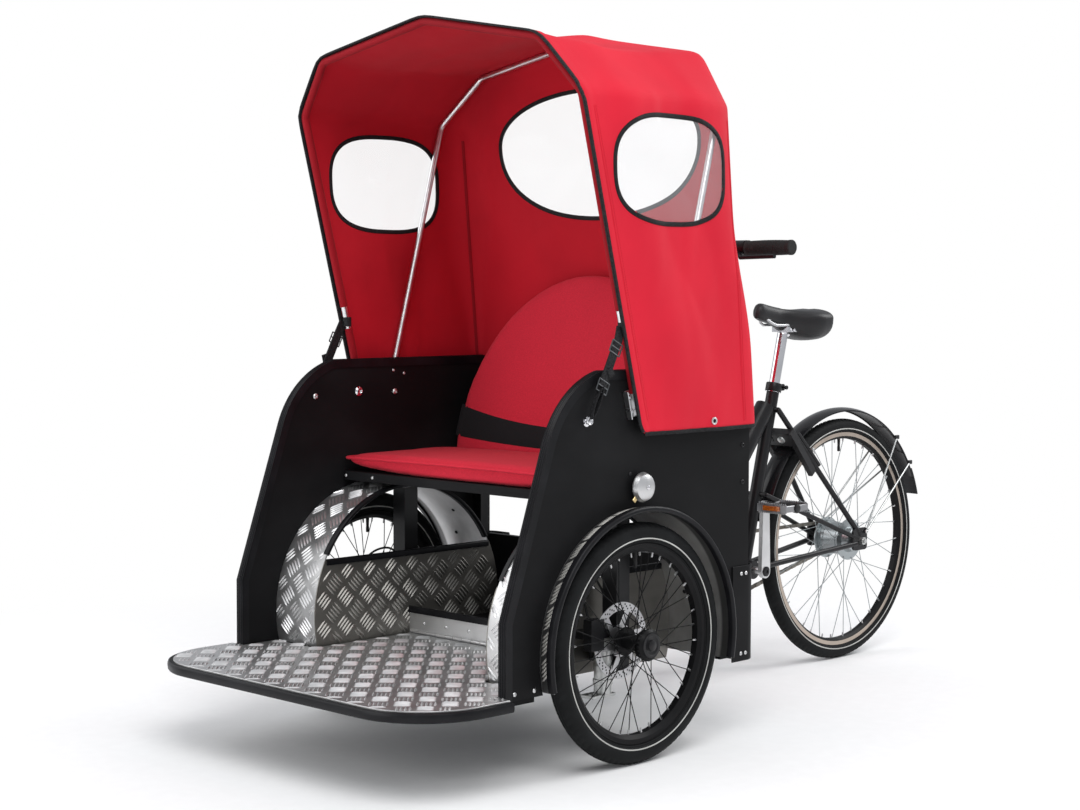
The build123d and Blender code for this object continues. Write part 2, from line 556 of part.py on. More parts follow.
def front_bow_leg_y(z):
    """Axis of the front bow's leg at a height, behind the axle."""
    return hood_front_y(z) + FRONT_BOW_SETBACK


def front_bow():
    knee = front_bow_leg_y(HOOD_SHOULDER)
    foot = (front_bow_leg_y(FRONT_BOW_FOOT_Z), FRONT_BOW_FOOT_Z)
    return bow(foot, knee - HOOD_PEAK, knee)


def rear_bow():
    top = hood_rear_y(HOOD_RIDGE) - CLOTH_T - REAR_BOW_SETBACK
    return bow(REAR_BOW_FOOT, top, hood_rear_y(HOOD_SHOULDER) - REAR_KNEE_SETBACK)


def hood_strap():
    """Flat webbing from the front bow down to the eye on the left side board."""
    leg_y = front_bow_leg_y(STRAP_TOP_Z)
    top = Vector(BOW_X, leg_y - BOW_R - SEAT_GAP - STRAP_W / 2, STRAP_TOP_Z)
    foot = Vector(PANEL_OUT_X + SEAT_GAP + STRAP_T / 2, STRAP_FOOT[0], STRAP_FOOT[1])
    plane = Plane(origin=foot, x_dir=(1, 0, 0), z_dir=top - foot)
    return plane * Box(STRAP_T, STRAP_W, (top - foot).length, align=LOW)


# Push bar

def handlebar():
    leg_foot = (BAR_LEG_X, PANEL_REAR + SEAT_GAP, BAR_LEG_FOOT_Z)
    out = (BAR_LEG_X, PANEL_REAR + BAR_LEG_OUT, BAR_LEG_FOOT_Z)
    knee = (BAR_LEG_X, BAR_LEG_KNEE[0], BAR_LEG_KNEE[1])
    top = (BAR_LEG_X, BAR_Y, BAR_Z)
    leg = bent_tube([leg_foot, out, knee, top], BAR_LEG_R, BAR_LEG_OUT / 2)
    flange_to = PANEL_REAR + SEAT_GAP + BAR_FLANGE_T
    leg += rod(leg_foot, (BAR_LEG_X, flange_to, BAR_LEG_FOOT_Z), BAR_FLANGE_R)
    bar = rod((-BAR_HALF + 1, BAR_Y, BAR_Z), (BAR_HALF - 1, BAR_Y, BAR_Z), BAR_R)
    return bar + leg + mirror(leg, about=Plane.YZ)


def grips():
    start = BAR_HALF - GRIP_L
    bore, edge, plug = BAR_R + SEAT_GAP / 2, 3.0, 0.7
    sleeve = turned([(start, bore), (start, GRIP_R), (BAR_HALF - edge, GRIP_R), (BAR_HALF, GRIP_R - edge),
                     (BAR_HALF, 0), (BAR_HALF - plug, 0), (BAR_HALF - plug, bore)])
    return both(Pos(0, BAR_Y, BAR_Z) * sleeve)


def brake_levers():
    """Clamp beside each grip with a blade below and ahead of it."""
    clamp_w, clamp_r, blade_r, reach = 16.0, 18.0, 5.0, 40.0
    elbow_out, elbow_back, elbow_drop, tip_drop = 24.0, 6.0, 22.0, 20.0
    x = BAR_HALF - GRIP_L - clamp_w
    lever = turned([(x - clamp_w, BAR_R + SEAT_GAP / 2), (x - clamp_w, clamp_r), (x + clamp_w - 1, clamp_r),
                    (x + clamp_w - 1, BAR_R + SEAT_GAP / 2)])
    root = (x, -0.6 * clamp_r, -0.6 * clamp_r)
    elbow = (x + elbow_out, elbow_back - reach, -elbow_drop)
    tip = (x + clamp_w + GRIP_L * 0.85, -reach, -tip_drop)
    lever += rod(root, elbow, blade_r) + rod(elbow, tip, blade_r) + Pos(*elbow) * Sphere(blade_r)
    lever -= rod((0, 0, 0), (BAR_HALF, 0, 0), BAR_R + SEAT_GAP / 2)
    return both(Pos(0, BAR_Y, BAR_Z) * lever)


def bell():
    y, z = BELL_PLACE
    x = PANEL_OUT_X + SEAT_GAP
    foot_r, foot_h, rim_h, shoulder_h = 9.0, 10.0, 16.0, 23.0
    dome = turned([(x, 0), (x, foot_r), (x + foot_h, foot_r), (x + foot_h, BELL_R), (x + rim_h, BELL_R),
                   (x + shoulder_h, BELL_R * 0.75),
                   (x + BELL_H, BELL_R * 0.3), (x + BELL_H, 0)])
    return Pos(0, y, z) * dome


# Rear frame

def place(point, x=0.0):
    return (x, point[0], point[1])


def tube_point(start, end, share):
    """Point of (y, z) part of the way along a tube."""
    return tuple(a + (b - a) * share for a, b in zip(start, end))


def head_tube():
    y = PIVOT_BEHIND_AXLE
    return Pos(0, y, HEAD_LOW) * Cylinder(HEAD_R, HEAD_HIGH - HEAD_LOW, align=LOW)


def seat_tube():
    return rod(place(BB), place(SEAT_TOP_END), SEAT_TUBE_R) - bb_barrel()


def bb_barrel():
    y, z = BB
    return rod((-BB_HALF, y, z), (BB_HALF, y, z), BB_R)


def main_beam():
    """One tube: level under the cabin from the head tube, then raked up to the seat tube."""
    level = (HEAD_LOW + HEAD_HIGH) / 2
    rise = math.radians(BEAM_RISE)
    corner_y = CLUSTER[0] - (CLUSTER[1] - level) / math.tan(rise)
    points = [(0, PIVOT_BEHIND_AXLE, level), (0, corner_y, level), place(CLUSTER)]
    beam = bent_tube(points, BEAM_R, BEAM_BEND) + head_tube()
    beam -= Pos(0, PIVOT_BEHIND_AXLE, 0) * Cylinder(PIN_R + RUN, 2 * HEAD_HIGH, align=LOW)
    return beam - rod(place(BB), place(tube_point(BB, SEAT_TOP_END, 1.5)), SEAT_TUBE_R)


def lower_tube_ahead():
    """Where the lower tube's axis meets the raked beam's axis."""
    rise = math.radians(BEAM_RISE)
    return (CLUSTER[0] - (CLUSTER[1] - BB[1]) / math.tan(rise), BB[1])


def bottom_bracket(beam, seat):
    """Shell with its spindle bore and the lower tube forward to the raked beam."""
    shell = bb_barrel() + rod(place(BB), place(lower_tube_ahead()), LOWER_TUBE_R)
    y, z = BB
    shell -= rod((-BB_HALF - 1, y, z), (BB_HALF + 1, y, z), SPINDLE_R + RUN)
    return shell - beam - seat


# Stays: share of the seat tube where each pair starts, its half-width there, its radius,
# and its end (behind, above) the rear axle
STAYS = {
    "chain_stays": dict(share=0.0, x=26.0, radius=7.0, end=(-18.0, -6.5)),
    "mid_stays": dict(share=0.42, x=33.0, radius=6.0, end=(-14.0, 6.5)),
    "seat_stays": dict(share=0.9, x=27.0, radius=7.0, end=(-4.0, 16.5)),
}


def stay_ends(row):
    """Start and end of a left-hand stay's axis."""
    y, z = row["end"]
    start = place(tube_point(BB, SEAT_TOP_END, row["share"]), row["x"])
    return Vector(start), Vector(DROPOUT_END_X, REAR_AXLE_Y + y, REAR_R + z)


def spindle_room():
    """Room for the turning crank spindle through the shell."""
    y, z = BB
    return rod((-BB_HALF - 8, y, z), (BB_HALF + 8, y, z), SPINDLE_R + RUN)


def stay(row, solids):
    """Pair of stays with the short cross tube that joins them to the seat tube or shell."""
    start, end = stay_ends(row)
    far = Vector(-start.X, start.Y, start.Z)
    leg = rod(start, end, row["radius"]) + Pos(start) * Sphere(row["radius"])
    pair = rod(far, start, row["radius"]) + leg + mirror(leg, about=Plane.YZ)
    for solid in solids:
        pair -= solid
    return pair


def dropouts(solids):
    """Plates that hold the rear axle, with a threaded eyelet for a rack or guard stay."""
    y0, y1 = REAR_AXLE_Y - DROPOUT_AHEAD, REAR_AXLE_Y + DROPOUT_BEHIND
    z0, z1 = REAR_R - DROPOUT_DROP, REAR_R + DROPOUT_RISE
    plate = block(DROPOUT_X, DROPOUT_X + DROPOUT_T, y0, y1, z0, z1)
    plate = fillet(plate.edges().filter_by(Axis.X), DROPOUT_CORNER_R)
    plate -= rod((0, REAR_AXLE_Y, REAR_R), (2 * DROPOUT_X, REAR_AXLE_Y, REAR_R), REAR_AXLE_R + RUN)
    eyelet = (y1 - EYELET_INSET, z0 + EYELET_INSET)
    plate -= rod((0, *eyelet), (2 * DROPOUT_X, *eyelet), EYELET_R)
    pair = both(plate)
    result = []
    for piece in pair.solids():
        for solid in solids:
            piece -= solid
        result.append(piece)
    return Compound(children=result)


def rear_axle():
    nut_r, nut_t, end = 11.0, 9.0, 14.0
    nut_x = DROPOUT_X + DROPOUT_T + SEAT_GAP
    axle = rod((-nut_x - end, 0, 0), (nut_x + end, 0, 0), REAR_AXLE_R)
    for side in (1, -1):
        hexagon = Plane.YZ.offset(side * nut_x) * RegularPolygon(nut_r, 6)
        axle += extrude(hexagon, amount=side * nut_t)
        inside = DROPOUT_X - SEAT_GAP
        axle += rod((side * inside, 0, 0), (side * (inside - 6), 0, 0), nut_r)
    return Pos(0, REAR_AXLE_Y, REAR_R) * axle


def stay_frame():
    """Start and end of the left seat stay's axis, the way along it and the way rearwards from it."""
    start, end = stay_ends(STAYS["seat_stays"])
    along = Vector(0, end.Y - start.Y, end.Z - start.Z).normalized()
    return start, end, along, Vector(1, 0, 0).cross(along)


def ring_lock():
    """Horseshoe lock on the front of the seat stays, its legs on both sides of the wheel."""
    below_cluster = 58.0
    inner = LOCK_HALF_W - LOCK_LEG
    outline = Rectangle(LOCK_REACH, 2 * LOCK_HALF_W, align=(Align.MIN, Align.CENTER))
    outline = fillet(outline.vertices(), LOCK_LEG / 2 - 1)
    outline -= Pos(LOCK_BASE, 0) * Rectangle(LOCK_REACH, 2 * inner, align=(Align.MIN, Align.CENTER))
    start, _, along, rearward = stay_frame()
    touch = STAYS["seat_stays"]["radius"] + SEAT_GAP
    origin = Vector(0, start.Y, start.Z) + along * below_cluster - rearward * touch
    return extrude(Plane(origin=origin, x_dir=along, z_dir=rearward) * outline, amount=-LOCK_T)


def rim_brake():
    """Two arms on the rear of the seat stays, each with a shoe beside the rim, and a link over the guard."""
    start, end, _, rearward = stay_frame()
    off = rearward * (STAYS["seat_stays"]["radius"] + BRAKE_ARM_R + SEAT_GAP)
    full = Vector(0, start.Y - REAR_AXLE_Y, start.Z - REAR_R).length

    def beside(radius):
        """Point behind the stay, at a radius from the rear axle."""
        return end + (start - end) * (radius / full) + off

    foot, pin = beside(REAR_RIM_R - 2 * REAR_RIM_DEPTH), beside(REAR_RIM_R - REAR_RIM_DEPTH * 0.75)
    over_guard = MUDGUARD_R + MUDGUARD_T + CLEAR
    hook, top = beside(over_guard + BRAKE_ARM_R), beside(over_guard + 3 * BRAKE_ARM_R)
    shoe = Vector(REAR_RIM_W / 2 + CLEAR + BRAKE_SHOE_R, pin.Y, pin.Z)
    half_shoe = rearward * BRAKE_SHOE_L / 2
    arm = rod(foot, top, BRAKE_ARM_R) + rod(pin, shoe, BRAKE_SHOE_R - 1)
    arm += rod(shoe - half_shoe, shoe + half_shoe, BRAKE_SHOE_R)
    link = rod((-hook.X, hook.Y, hook.Z), hook, BRAKE_ARM_R / 2)
    return arm + mirror(arm, about=Plane.YZ) + link


def seat_post():
    """Chrome post with a layback clamp under the saddle's rails."""
    rail_low = SADDLE_TOP - SADDLE_T - RAIL_DROP - RAIL_R
    head = (SADDLE_Y, rail_low - SEAT_GAP - CLAMP_T)
    top = tube_point(BB, SEAT_TOP_END, (head[1] - POST_R / 2 - BB[1]) / (SEAT_TOP_END[1] - BB[1]))
    post = rod(place(SEAT_TOP_END), place(top), POST_R)
    collar_from = tube_point(BB, SEAT_TOP_END, 1.002)
    collar_to = tube_point(BB, SEAT_TOP_END, 1.05)
    post += rod(place(collar_from), place(collar_to), COLLAR_R)
    post += rod(place(top), place(head), POST_R) + Pos(*place(top)) * Sphere(POST_R)
    _, y, z = place(head)
    half = RAIL_X + RAIL_R
    return post + block(-half, half, y - half, y + half, z, z + CLAMP_T)


def saddle():
    """Wide rear, narrow nose, with its two rails."""
    edge_r = 13.0
    # behind the post's clamp, half-width, rise of the tail
    table = ((-128, 18, 0), (-20, 32, 0), (70, 78, 0), (135, 70, 4))
    y, mid = SADDLE_Y, SADDLE_TOP - SADDLE_T / 2
    sections = [Plane((0, y + behind, mid + rise), x_dir=(1, 0, 0), z_dir=(0, -1, 0))
                * RectangleRounded(2 * half, SADDLE_T, edge_r) for behind, half, rise in table]
    seat = loft(sections, ruled=True)
    low = SADDLE_TOP - SADDLE_T - RAIL_DROP
    nose, tail, slope = -75.0, 80.0, 30.0
    for x in (RAIL_X, -RAIL_X):
        ends = (x / 2, y + nose - slope, mid), (x, y + tail + slope, mid)
        seat += bent_tube([ends[0], (x, y + nose, low), (x, y + tail, low), ends[1]], RAIL_R, RAIL_DROP)
    return seat


def rear_mudguard():
    ring = Pos(REAR_AXLE_Y, REAR_R) * (Circle(MUDGUARD_R + MUDGUARD_T) - Circle(MUDGUARD_R))
    reach = 2 * MUDGUARD_R
    rays = [(reach * math.cos(math.radians(a)), reach * math.sin(math.radians(a)))
            for a in (MUDGUARD_FROM, *MUDGUARD_BETWEEN, MUDGUARD_TO)]
    fan = Pos(REAR_AXLE_Y, REAR_R) * make_face(Polyline((0, 0), *rays, close=True))
    return side_sheet(ring & fan, -MUDGUARD_W / 2, MUDGUARD_W)


def mudguard_stays():
    """Two wires from each dropout to the guard's rear end."""
    end_r, end_x = MUDGUARD_R + MUDGUARD_T / 2, MUDGUARD_W / 2 + STAY_WIRE_R + SEAT_GAP
    start_x = DROPOUT_X + DROPOUT_T + 2 * STAY_WIRE_R
    start = Vector(start_x, REAR_AXLE_Y + STAY_ROOT[0], REAR_R + STAY_ROOT[1])
    pair = None
    for spread in STAY_SPREADS:
        angle = math.radians(MUDGUARD_FROM + spread)
        end = (end_x, REAR_AXLE_Y + end_r * math.cos(angle), REAR_R + end_r * math.sin(angle))
        wire = rod(start, end, STAY_WIRE_R)
        pair = wire if pair is None else pair + wire
    return both(pair + Pos(start) * Sphere(2 * STAY_WIRE_R))


# Drive

def chain():
    """Closed loop round chainring and sprocket."""
    def loop(grow):
        ring = Pos(*place(BB)[1:]) * Circle(RING_R + grow)
        sprocket = Pos(REAR_AXLE_Y, REAR_R) * Circle(SPROCKET_R + grow)
        return make_hull(ring.edges() + sprocket.edges())

    return side_sheet(loop(CHAIN_OUTSIDE) - loop(CHAIN_INSIDE), -CHAIN_X - CHAIN_W / 2, CHAIN_W)


def crankset():
    """Spindle, chainring and both arms, left arm up."""
    pin_from, pin_to = CRANK_X + CRANK_T / 2, CRANK_X + CRANK_T + PEDAL_L + RING_T
    crank = rod((-CRANK_X, 0, 0), (CRANK_X, 0, 0), SPINDLE_R)
    for side in (1, -1):
        eye = Pos(0, side * CRANK_L) * Circle(CRANK_EYE_R)
        outline = make_hull(Circle(CRANK_BOSS_R).edges() + eye.edges())
        crank += extrude(Plane.YZ.offset(side * CRANK_X) * outline, amount=side * CRANK_T)
        crank += rod((side * pin_from, 0, side * CRANK_L), (side * pin_to, 0, side * CRANK_L), PEDAL_PIN_R)
    ring = Circle(RING_R)
    for k in range(RING_HOLES):
        ring -= Rot(0, 0, k * 360 / RING_HOLES) * Pos(0, RING_HOLE_AT) * Circle(RING_HOLE_R)
    crank += extrude(Plane.YZ.offset(-CHAIN_X - RING_T / 2) * ring, amount=RING_T)
    crank += rod((-CRANK_X, 0, 0), (-CHAIN_X + RING_T / 2, 0, 0), SPIDER_R)
    return Pos(*place(BB)) * crank


def pedal(side):
    """Platform pedal on its spindle, open between the barrel and each tread bar."""
    x0, bar = CRANK_X + CRANK_T + CLEAR, 10.0
    x1 = x0 + PEDAL_L - CLEAR
    body = block(x0, x1, -PEDAL_W / 2, PEDAL_W / 2, -PEDAL_T / 2, PEDAL_T / 2)
    body = fillet(body.edges().filter_by(Axis.X), PEDAL_PIN_R)
    for way in (1, -1):
        mid = way * (PEDAL_W / 2 - bar - PEDAL_GAP / 2)
        body -= block(x0 + bar, x1 - bar, mid - PEDAL_GAP / 2, mid + PEDAL_GAP / 2, -PEDAL_T, PEDAL_T)
    body -= rod((x0 - CLEAR, 0, 0), (x1 + CLEAR, 0, 0), PEDAL_PIN_R + RUN)
    y, z = BB
    body = body if side > 0 else mirror(body, about=Plane.YZ)
    return Pos(0, y, z + side * CRANK_L) * body


def build():
    """Every node by name."""
    nodes = {
        "side_panel_left": side_panel(),
        "wheel_arches": both(wheel_arch()),
        "well_walls": both(well_wall()),
        "footboard": footboard(),
        "footboard_plate": footboard_plate(),
        "threshold_riser": threshold_riser(),
        "rear_floor": rear_floor(),
        "rear_lower_panel": rear_lower_panel(),
        "rear_upper_panel": rear_upper_panel(),
        "front_frame": front_frame(),
        "rear_posts": rear_posts(),
        "kingpin": kingpin(),
        "axle_carriers": both(axle_carrier()),
        "brake_calipers": both(brake_caliper()),
        "seat_board": seat_board(),
        "seat_cushion": seat_cushion(),
        "backrest_cushion": backrest_cushion(),
        "backrest_board": backrest_board(),
        "hood_front_bow": front_bow(),
        "hood_rear_bow": rear_bow(),
        "hood_straps": both(hood_strap()),
        "handlebar": handlebar(),
        "grips": grips(),
        "brake_levers": brake_levers(),
        "bell": bell(),
    }
    nodes["side_panel_right"] = mirror(nodes["side_panel_left"], about=Plane.YZ)
    nodes.update(hood_pieces())
    for name, piece in front_wheel_parts().items():
        left = Pos(TRACK_HALF, AXLE_Y, FRONT_R) * piece
        nodes[f"front_{name}_left"] = left
        nodes[f"front_{name}_right"] = mirror(left, about=Plane.YZ)
    rear_wheel = {"rear_tyre": tyre(REAR_R, REAR_TYRE_W, REAR_RIM_R),
                  "rear_rim": rim(REAR_RIM_R, REAR_RIM_W, REAR_RIM_DEPTH), "rear_hub": rear_hub()}
    for name, piece in rear_wheel.items():
        nodes[name] = Pos(0, REAR_AXLE_Y, REAR_R) * piece
    seat, beam = seat_tube(), main_beam()
    shell = bottom_bracket(beam, seat)
    stays = {}
    for name, row in STAYS.items():
        stays[name] = stay(row, [seat, beam, shell] + list(stays.values()) + [spindle_room()])
    nodes.update({"seat_tube": seat, "main_beam": beam, "bottom_bracket": shell, **stays})
    nodes["dropouts"] = dropouts(list(stays.values()))
    nodes.update({"ring_lock": ring_lock(), "rim_brake": rim_brake(),
                  "rear_axle": rear_axle(), "seat_post": seat_post(), "saddle": saddle(),
                  "rear_mudguard": rear_mudguard(), "mudguard_stays": mudguard_stays(), "chain": chain(),
                  "crankset": crankset(), "pedal_left": pedal(1), "pedal_right": pedal(-1)})
    return nodes


os.makedirs("parts", exist_ok=True)
for node, shape in build().items():
    placed = [Pos(0, CENTRE_Y, 0) * solid for solid in shape.solids()]
    export_step(Compound(children=placed) if len(placed) > 1 else placed[0], f"parts/{node}.step")
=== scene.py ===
import math

import bmesh
import bpy
from bpy.props import FloatProperty, FloatVectorProperty, IntProperty, PointerProperty
from mathutils import Matrix, Vector, noise
from mathutils.bvhtree import BVHTree


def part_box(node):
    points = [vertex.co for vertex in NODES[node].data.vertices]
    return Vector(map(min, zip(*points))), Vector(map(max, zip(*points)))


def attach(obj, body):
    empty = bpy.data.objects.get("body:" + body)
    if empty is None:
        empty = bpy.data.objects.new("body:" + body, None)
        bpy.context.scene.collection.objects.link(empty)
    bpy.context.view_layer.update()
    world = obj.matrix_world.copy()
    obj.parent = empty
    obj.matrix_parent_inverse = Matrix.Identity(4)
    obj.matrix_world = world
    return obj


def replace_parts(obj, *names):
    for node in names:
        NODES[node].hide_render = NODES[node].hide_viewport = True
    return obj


bl_info = {
    "name": "Passenger cargo tricycle",
    "version": (1, 0, 0),
    "blender": (4, 5, 0),
    "location": "View3D > Sidebar > Tricycle",
    "description": "Dresses the packed tricycle: hood, cushions, chequer plate, wheels, drive and finishes",
    "category": "Object",
}

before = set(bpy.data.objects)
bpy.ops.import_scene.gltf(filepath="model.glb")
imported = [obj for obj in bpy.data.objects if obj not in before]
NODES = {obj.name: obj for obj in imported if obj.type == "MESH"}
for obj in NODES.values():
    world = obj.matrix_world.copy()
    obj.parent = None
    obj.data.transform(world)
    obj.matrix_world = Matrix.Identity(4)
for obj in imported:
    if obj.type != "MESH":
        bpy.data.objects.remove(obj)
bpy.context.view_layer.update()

X, Y, Z = Vector((1, 0, 0)), Vector((0, 1, 0)), Vector((0, 0, 1))
SIDES = (("left", 1), ("right", -1))


def low(node):
    return Vector(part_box(node)[0])


def high(node):
    return Vector(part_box(node)[1])


def centre(node):
    return (low(node) + high(node)) / 2


REAR_AXLE = centre("rear_tyre")
AXLE_Y = centre("front_tyre_left").y
FRONT_R, REAR_R = high("front_tyre_left").z / 2, high("rear_tyre").z / 2
PANEL_IN, PANEL_OUT = low("side_panel_left").x, high("side_panel_left").x
PANEL_TOP, PANEL_FOOT = high("side_panel_left").z, low("side_panel_left").z
ARCH_R = (high("wheel_arches").y - low("wheel_arches").y) / 2
ARCH_OUT, WELL_X = high("wheel_arches").x, high("well_walls").x
WELL_TOP = high("well_walls").z
PLATE_TOP = high("footboard_plate").z
HOOD_HEM, HOOD_X = low("hood_side_left").z, high("hood_side_left").x
HOOD_RIDGE, SHOULDER = high("hood_roof").z, high("hood_side_left").z


def back(y):
    """Place along the vehicle, measured rearwards from the front axle."""
    return AXLE_Y + y


# Sums that repeat

def unit(value):
    return min(1.0, max(0.0, value))


def smooth(value):
    """0 below 0, 1 above 1, smooth between."""
    value = unit(value)
    return value * value * (3 - 2 * value)


def spread(first, last, count):
    """Values from first to last, in count equal steps."""
    return [first + (last - first) * k / count for k in range(count + 1)]


def arc(mid, radius, start, end, steps):
    """Points of a plane about a middle, from one angle in degrees to the other."""
    turns = [math.radians(turn) for turn in spread(start, end, steps)]
    return [(mid[0] + radius * math.cos(turn), mid[1] + radius * math.sin(turn)) for turn in turns]


def radial(degrees):
    """Unit vector square to X, turned from rearwards up."""
    turn = math.radians(degrees)
    return Vector((0, math.cos(turn), math.sin(turn)))


def spokes(count, shift=0.0):
    """Evenly turned unit vectors square to X."""
    return [radial(360 * (k + shift) / count) for k in range(count)]


# Settings

class TRICYCLE_PG_look(bpy.types.PropertyGroup):
    """Colours and trim sizes of the tricycle"""
    hood_red: FloatVectorProperty(name="Hood red", description="Coated cloth, outside", subtype="COLOR",
                                  default=(0.70, 0.018, 0.040), min=0, max=1)
    # the inside is the same cloth as the outside; its darker red is painted shade
    shaded_lining_red: FloatVectorProperty(name="Lining red", description="Cloth's uncoated inside", subtype="COLOR",
                                    default=(0.50, 0.010, 0.022), min=0, max=1)
    cushion_red: FloatVectorProperty(name="Cushion red", description="Woven upholstery", subtype="COLOR",
                                     default=(0.55, 0.022, 0.042), min=0, max=1)
    board_black: FloatVectorProperty(name="Board black", description="Film on the boards", subtype="COLOR",
                                     default=(0.007, 0.007, 0.0075), min=0, max=1)
    plate_metal: FloatVectorProperty(name="Plate metal", description="Chequer plate", subtype="COLOR",
                                     default=(0.80, 0.80, 0.80), min=0, max=1)
    binding: FloatProperty(name="Binding", description="Width of the black binding on the hood",
                           default=0.010, min=0.004, max=0.04, unit="LENGTH")
    hood_sag: FloatProperty(name="Hood sag", description="How far the cloth dips between the bows",
                            default=0.016, min=0, max=0.04, unit="LENGTH")
    chequer_cell: FloatProperty(name="Chequer cell", description="Side of one group of five raised bars",
                                default=0.0455, min=0.02, max=0.09, unit="LENGTH")
    tread_blocks: IntProperty(name="Tread grooves", description="Slanted grooves round a front tyre",
                              default=84, min=24, max=160)


# Shader maths

class Value:
    """A socket whose arithmetic adds Math nodes."""

    def __init__(self, finish, socket):
        self.finish, self.socket = finish, socket

    def math(self, operation, *others):
        return self.finish.node("ShaderNodeMath", {"operation": operation}, (self, *others))

    def __add__(self, other):
        return self.math("ADD", other)

    __radd__ = __add__

    def __mul__(self, other):
        return self.math("MULTIPLY", other)

    __rmul__ = __mul__

    def sine(self):
        return self.math("SINE")

    def size(self):
        return self.math("ABSOLUTE")

    def step(self, start, end):
        """0 below start, 1 above end, smooth between."""
        return self.finish.node("ShaderNodeMapRange", {"interpolation_type": "SMOOTHSTEP"},
                                (self, start, end, 0.0, 1.0))


class Nodes:
    """A node tree under construction."""

    def __init__(self, tree):
        self.tree = tree

    def set(self, socket, value):
        if isinstance(value, Value):
            self.tree.links.new(value.socket, socket)
        elif socket.type == "RGBA" and len(value) == 3:
            socket.default_value = (*value, 1.0)
        else:
            socket.default_value = value

    def node(self, kind, settings=None, sockets=(), output=0):
        """Adds a node: its settings first, then its sockets by name or in order."""
        node = self.tree.nodes.new(kind)
        for name, value in (settings or {}).items():
            setattr(node, name, value)
        named = sockets.items() if isinstance(sockets, dict) else enumerate(sockets)
        for name, value in named:
            self.set(node.inputs[name], value)
        return Value(self, node.outputs[output])


class Finish(Nodes):
    """A material under construction."""

    def __init__(self, name):
        self.material = bpy.data.materials.new(name)
        self.material.use_nodes = True
        super().__init__(self.material.node_tree)
        self.shader = self.tree.nodes["Principled BSDF"]

    def place(self, source="Object", scale=(1, 1, 1)):
        coords = self.node("ShaderNodeTexCoord", output=source)
        return self.node("ShaderNodeVectorMath", {"operation": "MULTIPLY"}, (coords, scale))

    def axes(self, vector):
        """The three parts of a vector."""
        first = self.node("ShaderNodeSeparateXYZ", None, (vector,))
        return [Value(self, part) for part in first.socket.node.outputs]

    def noise(self, scale, detail=3.0, stretch=(1, 1, 1)):
        return self.node("ShaderNodeTexNoise", {"noise_dimensions": "3D"},
                         {"Vector": self.place("Object", stretch), "Scale": scale, "Detail": detail, "Roughness": 0.5})

    def mix(self, share, first, second):
        return self.node("ShaderNodeMix", {"data_type": "RGBA"}, {0: share, 6: first, 7: second}, 2)

    def bump(self, height, strength, distance):
        return self.node("ShaderNodeBump", None, {"Height": height, "Strength": strength, "Distance": distance})

    def done(self, **sockets):
        """Sets the shader's sockets, given with underscores for spaces."""
        for name, value in sockets.items():
            self.set(self.shader.inputs[name.replace("_", " ")], value)
        return self.material


def tint(colour, factor):
    return tuple(min(1.0, c * factor) for c in colour)


def hood_cloth(name, colour, fading):
    """Coated canvas: plain weave, cloudy fading, soft creases."""
    f = Finish(name)
    u, v, _ = f.axes(f.place("UV"))
    threads = 2600.0
    weave = (u * threads).sine() * (v * threads).sine()
    clouds = f.noise(3.2, 4.0)
    crease = f.noise(9.0, 5.0, (1.0, 0.6, 0.35))
    shade = f.mix(clouds.step(0.32, 0.72), tint(colour, 1 - fading), tint(colour, 1 + fading / 2))
    shade = f.mix(weave.step(-1.2, 1.3) * 0.25, shade, tint(colour, 0.6))
    return f.done(Base_Color=shade, Roughness=0.66 + crease * 0.16, Sheen_Weight=0.02, Specular_IOR_Level=0.12,
                  Normal=f.bump(crease * 3.0 + weave * 0.05, 0.45, 0.0030))


def upholstery(name, colour, flat_axes):
    """Chunky woven upholstery with a melange of two shades."""
    f = Finish(name)
    parts = f.axes(f.place())
    threads = 1500.0
    warp, weft = [(parts[axis] * threads).sine() for axis in flat_axes]
    weave = warp * weft
    fleck = f.noise(420.0, 2.0)
    worn = f.noise(5.0, 3.0)
    shade = f.mix(fleck.step(0.35, 0.68), tint(colour, 0.90), tint(colour, 1.07))
    shade = f.mix(worn.step(0.4, 0.75) * 0.3, shade, tint(colour, 0.82))
    return f.done(Base_Color=shade, Roughness=0.84 + weave * 0.05, Sheen_Weight=0.04, Specular_IOR_Level=0.10,
                  Normal=f.bump(weave * 0.5 + fleck, 0.25, 0.0006))


def webbing(name, colour):
    """Flat woven tape with fine cross ribs."""
    f = Finish(name)
    parts = f.axes(f.place())
    threads = 2600.0
    ribs = (parts[2] * threads + parts[1] * threads).sine()
    grain = f.noise(300.0, 2.0)
    shade = f.mix(grain.step(0.3, 0.75), tint(colour, 0.6), tint(colour, 2.2))
    return f.done(Base_Color=shade, Roughness=0.66 + ribs * 0.08, Specular_IOR_Level=0.15,
                  Normal=f.bump(ribs * 0.5 + grain, 0.35, 0.0006))


def coat(name, colour, pores, clouds, rough, shine, peel, pale=1.9, reach=(0.35, 0.8), **more):
    """Dark skin with fine pores and clouds. rough is the least roughness and what the clouds add to it."""
    f = Finish(name)
    fine, cloud = f.noise(pores, 2.0), f.noise(*clouds)
    shade = f.mix(cloud.step(*reach), colour, tint(colour, pale))
    return f.done(Base_Color=shade, Roughness=rough[0] + cloud * rough[1], Specular_IOR_Level=shine,
                  Normal=f.bump(fine, peel, 0.0004), **more)


def board_film(name, colour):
    """Black film on plywood: satin, with a faint pressed grain and hand marks."""
    return coat(name, colour, 900.0, (4.0, 5.0, (1, 1, 1.6)), (0.40, 0.22), 0.09, 0.12)


